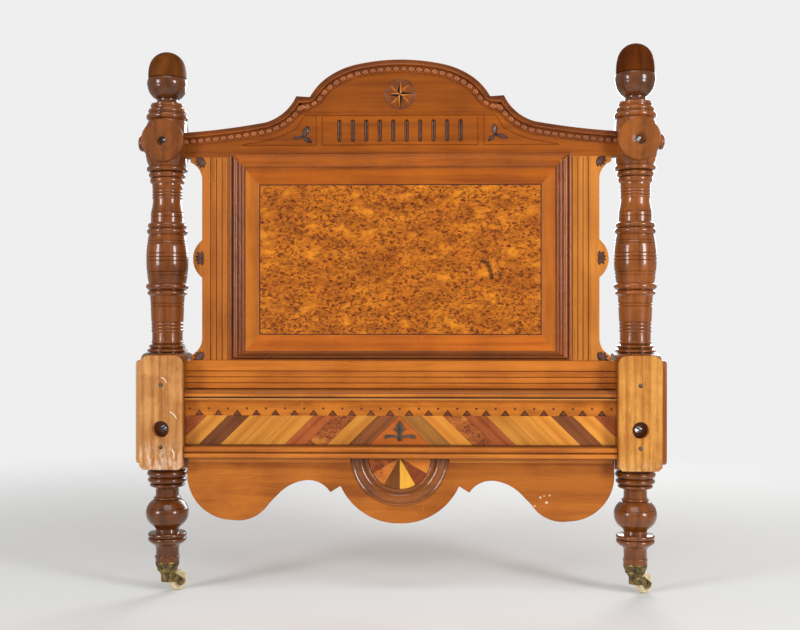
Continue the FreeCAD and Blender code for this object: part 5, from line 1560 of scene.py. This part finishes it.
# The four borders are one wood painted with light and shade by the way each one slopes: the top
# darkest under the moulding's shadow, the foot redder and brighter, and the left side lighter than
# the right.
border_light_and_shade = {
    "top": ((188, 98, 18), (140, 66, 10)), "bottom": ((204, 108, 26), (154, 74, 16)),
    "left": ((200, 117, 38), (150, 79, 20)), "right": ((193, 108, 33), (147, 75, 19)),
}
border_profile = [(0.0, 11.0), (0.04, 10.9), (0.96, 8.1), (1.0, 7.6)]
for edge, (light, dark) in border_light_and_shade.items():
    border = mitred("border_" + edge, edge, SIGHT, VENEER, border_profile, lap_back(0), 22.0)
    finish = wood("border painted lit and shaded, " + edge, light, dark,
                  along="up" if edge in ("left", "right") else "across", contrast=0.7)
    piece("sloping_border_" + edge, border, finish,
          ["panel_border_" + edge])
print("frame of the panel:", [round(c, 1) for c in FRAME], "sight", [round(c, 1) for c in SIGHT])

# %% [markdown]
# The veneer keeps its CAD slab, which is already right. A narrow dark line is let in
# round it, a hair above its face. The ground behind it and the box behind the inlays are
# plain boards that show only from the back, and take the board finish as they are.

# %% Veneer, and the boards behind

nodes["burl_veneer"].data.materials.clear()
nodes["burl_veneer"].data.materials.append(burl_veneer)
LINE_IN = tuple(v + d for v, d in zip(VENEER, (-1.6, 1.6, -1.6)))
line_profile = [(0.0, 7.5), (1.0, 7.3)]
line_back = [(1.0, 6.9), (0.0, 6.9)]
line_lengths = [mitred("line_" + edge, edge, VENEER, LINE_IN, line_profile, line_back, 1.6)
                for edge in ENDS]
piece("stringing_line", joined("stringing", line_lengths), dark_carved)

for label in ("panel_ground", "box_rail"):
    back = rounded(label, width=0.6)
    piece(label + "_board", back, board_wood, [label])
print("pieces so far:", len(made_pieces))

# %% [markdown]
# Over the box run a cornice with a thin black line let into it, and a heavy double reed
# under the inlays. Both are profiles drawn along X. Unlike the frame they have no mitres:
# their square ends butt against the posts.

# %% Straight mouldings


def drawn_length(name, profile, half):
    """A profile of (reach, height) rows drawn along X."""
    points = spelled_out(profile, closed=True)
    marks = hollows(points, 2.4, 2.2)
    corners = [(x, AXIS_Y - reach, z) for x in (-half, half) for reach, z in points]
    return tidy(as_mesh(name, corners, skin(len(points)), marks * 2), angle=36)


CLEAR_HALF = in_mm("cornice_moulding")[1].x
cornice_rows = [(22, 321.5), (28.5, 321.5), (29.5, 322.4), (33.8, 323.4, 0.5), (36.0, 325.2),
                (36.3, 325.8), (36.3, 328.2), (36.5, 328.6, 1.3), (36.7, 333.2), (34.4, 333.8),
                (33.8, 334.6, -0.7), (32.2, 339.0), (22, 339.0)]
cornice = drawn_length("cornice", cornice_rows, CLEAR_HALF)
piece("reeded_cornice", cornice, cornice_wood, ["cornice_moulding"])
line = rounded("ebony_line", width=0.4)
piece("black_line", line, ebony, ["ebony_line"])
double_reed = [(22, 228), (41.4, 228.3, 2.5), (41.2, 236.2), (39.4, 236.8), (39.4, 237.8),
               (40.6, 238.4, 3.1), (40.2, 246.2), (34.0, 246.6), (34.0, 249.5), (22, 249.5)]
lower = drawn_length("double_reed", double_reed, CLEAR_HALF)
piece("double_reed_moulding", lower, reed_wood, ["lower_moulding"])
print("cornice and double reed are", round(CLEAR_HALF * 2), "mm long")

# %% [markdown]
# The frieze has a row of dark three-cornered notches, each with a small lighter heart, and
# a dark dot between each two. Rows like these are a second use of Geometry Nodes: a line
# of points at an even pitch, with the same tail of nodes as the row of beads.

# %% Frieze with its rows of notches and dots

NOTCHES, NOTCH_PITCH, NOTCH_FOOT, DOT_Z = 22, 31.4, 297.1, 307.4
straight_tree, given, end = row_tree("Straight row", [
    ("Count", "NodeSocketInt", NOTCHES), ("Pitch", FLOAT, NOTCH_PITCH * MM)])
span = times(straight_tree, calc(straight_tree, "SUBTRACT", given["Count"], 1.0), given["Pitch"])
first = put(straight_tree, "CombineXYZ", {"X": times(straight_tree, span, -0.5)})
stride = put(straight_tree, "CombineXYZ", {"X": given["Pitch"]})
spots = geo(straight_tree, "MeshLine", {"Count": given["Count"], "Start Location": first,
                                        "Offset": stride})
end_row(straight_tree, end, spots, given)

FRIEZE_FRONT = in_mm("frieze_strip")[0].y
frieze = level_fronts(tidy(cad_copy("frieze_strip", flatten=False), outward=False))
frieze_wood = wood("frieze", (214, 126, 38), (158, 84, 20), along="across", patch=0.05)
piece("frieze_with_notches", frieze, frieze_wood, ["frieze_strip"])


def notch_part(scale, lift, half=8.0, high=9.6):
    """A triangle in the frieze, as a share of the notch's size."""
    foot = NOTCH_FOOT + (1 - scale) * 3.2
    rows = [(-half * scale, foot), (half * scale, foot), (0, foot + high * scale)]
    return board("Notch", rows, FRIEZE_FRONT + 1.1 - lift, FRIEZE_FRONT + 1.6)


dot = spun("Dot", [(0, 0), (2.3, 0), (2.3, 0.8), (1.5, 1.25), (0, 1.4)],
           standing(0, FRIEZE_FRONT + 1.3, DOT_Z, TO_FRONT), steps=14)
# The dark triangles and dots sit at the floor of the frieze's cuts: their dark is partly stain and
# partly painted shade in the cuts.
in_rows = [("notch_inlays", notch_part(1.0, 0.0), notch_stain_and_shade, NOTCHES),
           ("notch_hearts", notch_part(0.5, 0.8), inlay_brown, NOTCHES),
           ("drilled_dots", dot, dark_carved, NOTCHES + 1)]
for name, pattern, finish, count in in_rows:
    no_points = bpy.data.meshes.new("Nothing")
    row = grown(name, no_points, straight_tree, pattern, finish,
                {"Count": count, "Pitch": NOTCH_PITCH * MM})
    piece(name, tidy(row), finish)
    print(name, "in a row of", count, "with", len(row.polygons), "faces")

# %% [markdown]
# The band is a row of slanting strips of five woods, leaning in to a triangle with a
# small sprig. Each strip is drawn as a slanting outline, cut off where the band ends, and
# made a thin board. Its edges are eased a hair, so that the joints read as fine lines, and
# each strip gets its own tone, so that two strips of one veneer still differ.

# %% The inlaid band

BAND_FRONT = in_mm("marquetry_light")[0].y
BAND_FOOT, BAND_TOP, TRIANGLE, STRIP_THICK = 249.5, 297.0, 49.0, 4
BAND_WOODS = {
    "left": ["brown", "light", "burl", "red", "light", "light", "light", "brown", "light", "red"],
    "right": ["tan", "light", "burl", "red", "light", "light", "light", "brown", "light", "red"],
}


def cut_off(points, limit):
    """A shape's points, cut off where it passes a limit in X on either side."""
    for sign in (1, -1):
        kept = []
        for here, after in zip(points, points[1:] + points[:1]):
            inside, next_inside = here[0] * sign <= limit, after[0] * sign <= limit
            if inside:
                kept.append(here)
            if inside != next_inside:
                share = (limit * sign - here[0]) / (after[0] - here[0])
                kept.append((limit * sign, here[1] + (after[1] - here[1]) * share))
        points = kept
    return points


def toned(mesh, tone):
    """Give every point of a mesh the same tone, from -1 to 1."""
    layer = mesh.attributes.new("tone", "FLOAT", "POINT")
    layer.data.foreach_set("value", [tone] * len(mesh.vertices))


def inlay(name, shapes, front, back, ease=0.28):
    """Thin pieces of wood with eased edges, each with its own tone."""
    meshes = []
    for shape_rows in shapes:
        middle = sum(p[0] for p in shape_rows) / len(shape_rows)
        shrunk = [(middle + (x - middle) * 0.992, z) for x, z in shape_rows]
        flat = board(name, shrunk, front, back)
        flat = softened(flat, ease, segments=1)
        toned(flat, tone=math.sin(len(meshes) * 2.4 + sum(p[0] for p in shape_rows)))
        meshes.append(flat)
    return joined(name, meshes)


strips = {"light": [], "brown": [], "red": [], "burl": [], "tan": []}
wide = CLEAR_HALF / 10
for which, side in SIDES.items():
    for number, timber in enumerate(BAND_WOODS[which]):
        start, stop = wide * number, wide * (number + 1)
        rows = [(start * side, BAND_TOP), (stop * side, BAND_TOP),
                ((stop + TRIANGLE) * side, BAND_FOOT), ((start + TRIANGLE) * side, BAND_FOOT)]
        strips[timber].append(cut_off(rows, CLEAR_HALF))
for label, finish, slot in (("light", inlay_light, "light_wood"),
                            ("brown", inlay_brown, "dark_wood"),
                            ("red", inlay_red, "red_wood"),
                            ("burl", burl_inlay, "burl_wood"),
                            ("tan", inlay_tan, "dark_wood")):
    mesh = inlay("band_" + label, strips[label], BAND_FRONT, BAND_FRONT + STRIP_THICK)
    stands_for = [] if label == "tan" else ["marquetry_" + label]
    piece("band_" + label, mesh, finish, stands_for)
    print("band,", label, "wood:", len(strips[label]), "strips")
centre = inlay("band_centre", [[(-TRIANGLE, BAND_FOOT), (TRIANGLE, BAND_FOOT), (0, BAND_TOP)]],
               BAND_FRONT, BAND_FRONT + STRIP_THICK)
piece("band_centre", centre, centre_wood, ["marquetry_centre"])
sprig = rounded("sprig")
piece("black_sprig", sprig, sprig_wood, ["sprig"])

# %% [markdown]
# Below hangs the apron, sawn to lobes and hollows, with a thin fillet along its top at each
# side, and a half-round moulding round a fan of six wedges. The moulding is spun from its
# own profile through half a turn. The wedges are cut from six veneers, and the CAD gives
# them as three nodes, so the first wedge of each node stands for it.

# %% Apron, half-round and fan

apron = rounded("apron_board", width=1.2, segments=3)
piece("sawn_apron", apron, apron_wood, ["apron_board"])
APRON_FRONT = in_mm("apron_board")[0].y
fillet_rows = [(82, 219.8), (348, 219.8), (348, 227.8), (80.4, 227.8)]
fillets = [softened(board("Fillet", fillet_rows, APRON_FRONT - 2.4, APRON_FRONT + 0.4), 0.9)
           for _ in SIDES]
mirrored(fillets[0])
piece("apron_fillets", joined("apron_fillets", fillets), fillet_wood_painted_light)


def half_turn(name, rows, centre_z, front, steps=72):
    """A profile of (radius, rise) spun through the lower half turn, in front of a board."""
    points = spelled_out(rows, steps=6)
    marks = hollows([(rise, radius) for radius, rise in points], 2.4, 2.0)
    corners = []
    for step in range(steps + 1):
        angle = math.pi + math.pi * step / steps
        corners += [(radius * math.cos(angle), front - rise, centre_z + radius * math.sin(angle))
                    for radius, rise in points]
    faces = skin(len(points), steps + 1)
    return tidy(as_mesh(name, corners, faces, marks * (steps + 1)), angle=36)


ring_rows = [(51.5, 0), (51.5, 2.6, -1.6), (57.0, 2.8), (57.6, 0.6), (59.4, 0.6),
             (60.2, 1.6, -3.1), (74.5, 1.8), (75.2, 1.2), (76.4, 1.6), (77.0, 2.2, -0.6),
             (79.6, 1.0), (80.0, 0)]
FAN_Z, FAN_RADIUS = 228, 51
ring_mesh = half_turn("half_round", ring_rows, FAN_Z, APRON_FRONT)
ring_wood = wood("half-round moulding", (156, 86, 28), (102, 54, 16), along="across",
                 rough=0.24, varnish=0.8, wax=0.9, coat_rough=0.08)
piece("fan_moulding", ring_mesh, ring_wood, ["half_round_moulding"])

WEDGES = [
    ("dark", "dark_wood", burl_finish("mottled wedge", (190, 98, 42), (140, 66, 26), (84, 34, 18),
                                      crowding=0.8)),
    ("warm", "red_wood", burl_finish("warm wedge", (206, 122, 50), (188, 100, 36), (150, 64, 30),
                                     crowding=0.35)),
    ("dark", "dark_wood", wood("brown wedge", (128, 74, 26), (96, 50, 16))),
    ("light", "light_wood", wood("yellow wedge", (240, 180, 62), (224, 154, 46))),
    ("warm", "red_wood", burl_finish("red wedge", (158, 78, 34), (128, 56, 24), (84, 32, 16),
                                     crowding=0.8)),
    ("light", "light_wood", wood("orange wedge", (222, 138, 52), (196, 106, 34), along="across")),
]
WEDGE_TURN = 30
stood_for = set()
for number, (timber, slot, finish) in enumerate(WEDGES):
    start = 180 + WEDGE_TURN * number
    turns = [math.radians(start + a) for a in range(0, WEDGE_TURN + 1, 5)]
    rim = [(FAN_RADIUS * math.cos(turn), FAN_Z + FAN_RADIUS * math.sin(turn)) for turn in turns]
    mesh = inlay("wedge", [[(0, FAN_Z)] + rim], APRON_FRONT - 2, APRON_FRONT, ease=0.25)
    node = "fan_" + timber
    piece("fan_wedge_" + str(number + 1), mesh, finish, [] if node in stood_for else [node])
    stood_for.add(node)
print("apron front at", round(APRON_FRONT, 2), "mm")

# %% [markdown]
# The rosette in the crest is a compass star of four long points with four petals between
# them, each half light and half dark, let into a darker disc. The disc is spun, and the
# star is built point by point: two halves of a point slope down from its ridge, so that
# they catch the light differently, as the real ones do.

# %% Rosette

low, high = in_mm("rosette_disc")
ROSE = ((low.x + high.x) / 2, (low.z + high.z) / 2)
rose_radius = (high.x - low.x) / 2
rose_thick = high.y - low.y
rosette = spun("rosette", [(0, 0), (rose_radius, 0), (rose_radius, rose_thick),
                           (rose_radius - 0.5, rose_thick), (rose_radius - 1.2, rose_thick - 0.4),
                           (rose_radius - 1.9, rose_thick), (0, rose_thick)],
               standing(ROSE[0], high.y, ROSE[1], TO_FRONT), steps=96,
               marks=[0.0, 0.0, 0.6, 1.0, 1.0, 0.6, 0.0])
rosette_wood = wood("rosette ground", (164, 88, 26), (122, 62, 16), along="across", patch=0.01,
                    patchy=0.6, wax=0.6)
piece("rosette_ground", rosette, rosette_wood, ["rosette_disc"])
ROSE_FRONT, STAR_FRONT = low.y, in_mm("rosette_star")[0].y


def blade(angle, waist, hand, long=23.5, rise=0.25):
    """Half of one star point, on one side of its ridge."""
    turn = math.radians(angle)
    side = turn + math.radians(45) * hand

    def spot(reach, way, lift):
        return (ROSE[0] + reach * math.cos(way), STAR_FRONT - lift,
                ROSE[1] + reach * math.sin(way))

    tops = [spot(0, turn, rise), spot(long, turn, 0.0), spot(waist, side, 0.0)]
    backs = [(x, STAR_FRONT + 1.0, z) for x, _, z in tops]
    faces = [(0, 1, 2), (5, 4, 3), (0, 3, 4, 1), (1, 4, 5, 2), (2, 5, 3, 0)]
    return tidy(as_mesh("Blade", tops + backs, faces), angle=10)


def petal(angle, hand, start=6.0, long=15.0, half=3.0, proud=0.12):
    """Half of a short leaf between two star points."""
    turn = math.radians(angle)
    along, aside = (math.cos(turn), math.sin(turn)), (-math.sin(turn) * hand, math.cos(turn) * hand)
    rows = []
    for share, wide in ((0, 0), (0.25, 0.8), (0.5, 1.0), (0.75, 0.8), (1, 0)):
        reach = start + long * share
        rows.append((ROSE[0] + along[0] * reach + aside[0] * half * wide,
                     ROSE[1] + along[1] * reach + aside[1] * half * wide))
    return board("Petal", rows, ROSE_FRONT - proud, ROSE_FRONT + 0.5)


QUARTERS = (0, 90, 180, 270)
dark_halves = [blade(turn, 6.0, 1) for turn in QUARTERS]
light_halves = [blade(turn, 4.0, -1) for turn in QUARTERS]
petals = [petal(45 + turn, 1) for turn in QUARTERS]
petals_dark = [petal(45 + turn, -1) for turn in QUARTERS]
star_light = wood("star, light", (206, 128, 54), (176, 98, 36), patch=0.02)
piece("star_light_halves", joined("light", light_halves), star_light,
      ["rosette_star"])
petal_wood = wood("petal, light", (190, 112, 40), (158, 84, 26), patch=0.01)
piece("petal_light_halves", joined("petals", petals), petal_wood)
piece("petal_dark_halves", joined("petals_dark", petals_dark), inlay_brown)
piece("star_dark_halves", joined("dark", dark_halves), ebony)
print("star halves:", len(dark_halves), "dark and", len(light_halves), "light")

# %% [markdown]
# Leaves are carved at the sides of the fluted panel and in the ears of the stiles. A
# carver cuts each lobe with a gouge and then veins it. Here a lobe is a small grid whose
# height is a sum of waves: a swell, a crease down the middle and a few nicks. A leaf is
# some of them turned about one spot.

# %% Carved leaves


def lobe(long, wide, high=2.8, nicks=3):
    """A pointed lobe lying along X, with a crease and a few nicks across it."""
    across, down = 6, 12
    corners, faces = [], []
    for step in range(down + 1):
        share = step / down
        half = wide / 2 * math.sin(math.pi * min(1.0, share * 0.92 + 0.06)) ** 0.75
        for part in range(across + 1):
            v = part / across * 2 - 1
            lift = high * (1 - v * v) * math.sin(math.pi * (share * 0.9 + 0.05)) ** 0.6
            lift -= high * 0.45 * math.exp(-(v * 5) ** 2)
            lift -= high * 0.22 * (0.5 + 0.5 * math.cos(share * nicks * 2 * math.pi)) * abs(v)
            corners.append((long * share, half * v, max(0.0, lift)))
    for step in range(down):
        for part in range(across):
            start = step * (across + 1) + part
            faces.append((start, start + across + 1, start + across + 2, start + 1))
    base = len(corners)
    corners += [(x, y, -0.6) for x, y, _ in corners]
    faces += [tuple(base + n for n in reversed(face)) for face in faces]
    rim = [n for n in range(across + 1)]
    rim += [s * (across + 1) + across for s in range(1, down + 1)]
    rim += [down * (across + 1) + n for n in range(across - 1, -1, -1)]
    rim += [s * (across + 1) for s in range(down - 1, 0, -1)]
    for n, here in enumerate(rim):
        after = rim[(n + 1) % len(rim)]
        faces.append((here, after, after + base, here + base))
    marks = [max(0.0, 1 - z / high * 1.3) for _, _, z in corners]
    return as_mesh("Lobe", corners, faces, marks)


def leaf(name, x, z, lobes, mirror=1):
    """A leaf of pointed lobes from one spot, each with its own heading and length."""
    meshes = []
    for heading, long, *plump in lobes:
        part = lobe(long, long * (plump[0] if plump else 0.42))
        way = heading if mirror > 0 else 180 - heading
        part.transform(Matrix.Rotation(math.radians(way), 4, "Z"))
        meshes.append(tidy(part, angle=50))
    made = joined(name, meshes)
    made.transform(standing(x * mirror, BOARD_FRONT, z, TO_FRONT))
    return made


CREST_LEAVES = {"left": (-160.5, 756.0, [(62, 20, 0.55), (187, 17, 0.34), (-32, 18, 0.46)]),
                "right": (157.0, 759.0, [(97, 18, 0.55), (-14, 22, 0.34), (-137, 16, 0.46)])}
EARS = [(325.0, 720.5, [(4, 13), (-20, 15), (-45, 16), (-68, 16), (-90, 15)]),
        (326.0, 556.0, [(80, 12), (46, 14), (15, 13), (-15, 13), (-46, 14), (-80, 12)]),
        (326.5, 389.0, [(-2, 15), (22, 16), (46, 16), (70, 14), (92, 13)])]
for which, side in SIDES.items():
    carved_leaf = leaf(which + "_leaf", *CREST_LEAVES[which])
    piece(which + "_carved_leaf", carved_leaf, ear_wood, [which + "_crest_leaf"])
    ears = [leaf("Ear", *ear, mirror=side) for ear in EARS]
    piece(which + "_ear_carving", joined(which + "_ears", ears), ear_wood)
print("pieces:", len(made_pieces))

# %% [markdown]
# The studio is plain: a pale floor that fades into an even pale surround, two tall soft
# boxes half to the left and half to the right of the camera, and a weak fill. On turned
# wood each soft box leaves one upright streak, so their shape and place matter more than
# their strength. The surround is bright to the camera and to reflections only, through
# the Light Path node, and lights the wood far less.

# %% Floor, surround and lights


def make_floor():
    """A pale disc that fades out before its edge."""
    mesh = bpy.data.meshes.new("Floor")
    shape = bmesh.new()
    bmesh.ops.create_circle(shape, cap_ends=True, radius=6.0, segments=96)
    shape.to_mesh(mesh)
    shape.free()
    material, tree, shader, position = new_finish("pale floor")
    filled(shader, {"Base Color": (0.80, 0.80, 0.79, 1), "Roughness": 0.9,
                    "Specular IOR Level": 0.1})
    away = put(tree, "VectorMath", {0: position}, output="Value", operation="LENGTH")
    feed(tree, shader.inputs["Alpha"], fading(tree, away, 0.7, 2.2))
    mesh.materials.append(material)
    in_scene("Floor", mesh)


make_floor()

world = bpy.context.scene.world or bpy.data.worlds.new("Surround")
bpy.context.scene.world = world
world.use_nodes = True
tree = world.node_tree
backdrop = tree.nodes["Background"]
filled(backdrop, {"Color": (0.86, 0.86, 0.86, 1)})
rays = tree.nodes.new("ShaderNodeLightPath").outputs
mirrored_ray = calc(tree, "MAXIMUM", rays["Is Glossy Ray"], rays["Is Transmission Ray"])
seen = calc(tree, "MAXIMUM", rays["Is Camera Ray"], times(tree, mirrored_ray, 0.32))
feed(tree, backdrop.inputs["Strength"], calc(tree, "MAXIMUM", seen, 0.36))


def faced(thing, place, aim):
    """Stand a lamp or a camera at a place, facing a point."""
    thing.location = place
    thing.rotation_euler = (Vector(aim) - Vector(place)).to_track_quat("-Z", "Y").to_euler()


def soft_box(name, place, wide, tall, watts, aim=(0, 0, 0.5)):
    """A soft rectangular lamp at a place, facing a point."""
    lamp = bpy.data.lights.new(name, "AREA")
    lamp.shape = "RECTANGLE"
    lamp.size, lamp.size_y, lamp.energy = wide, tall, watts
    faced(in_scene(name, lamp), place, aim)


soft_box("left soft box", (-1.9, -1.7, 0.95), 0.6, 1.1, 30)
soft_box("right soft box", (1.9, -1.7, 0.95), 0.6, 1.1, 38)
soft_box("top fill", (0, -1.2, 2.6), 1.6, 1.0, 14)
soft_box("rear fill", (0.8, 2.4, 1.3), 1.6, 1.2, 34)
print("lamps:", len(bpy.data.lights))

# %% [markdown]
# The camera stands where the photographer stood: about two metres off, level with the
# middle of the end, and a hand's breadth to the right. Lens and distance were found from
# how much smaller the far post looks than the near one.

# %% Camera

eye = bpy.data.cameras.new("Camera")
eye.sensor_width, eye.lens = 36.0, 51.69
EYE_ASIDE, EYE_AWAY, EYE_HEIGHT = 0.05, 1.9, 0.462
camera = in_scene("Camera", eye)
faced(camera, (EYE_ASIDE, -EYE_AWAY, EYE_HEIGHT), (0, 0, EYE_HEIGHT))
eye.clip_start, eye.clip_end = 0.05, 50
bpy.context.scene.camera = camera
bpy.context.scene.view_settings.view_transform = "Standard"
print("the camera's lens is", eye.lens, "mm")
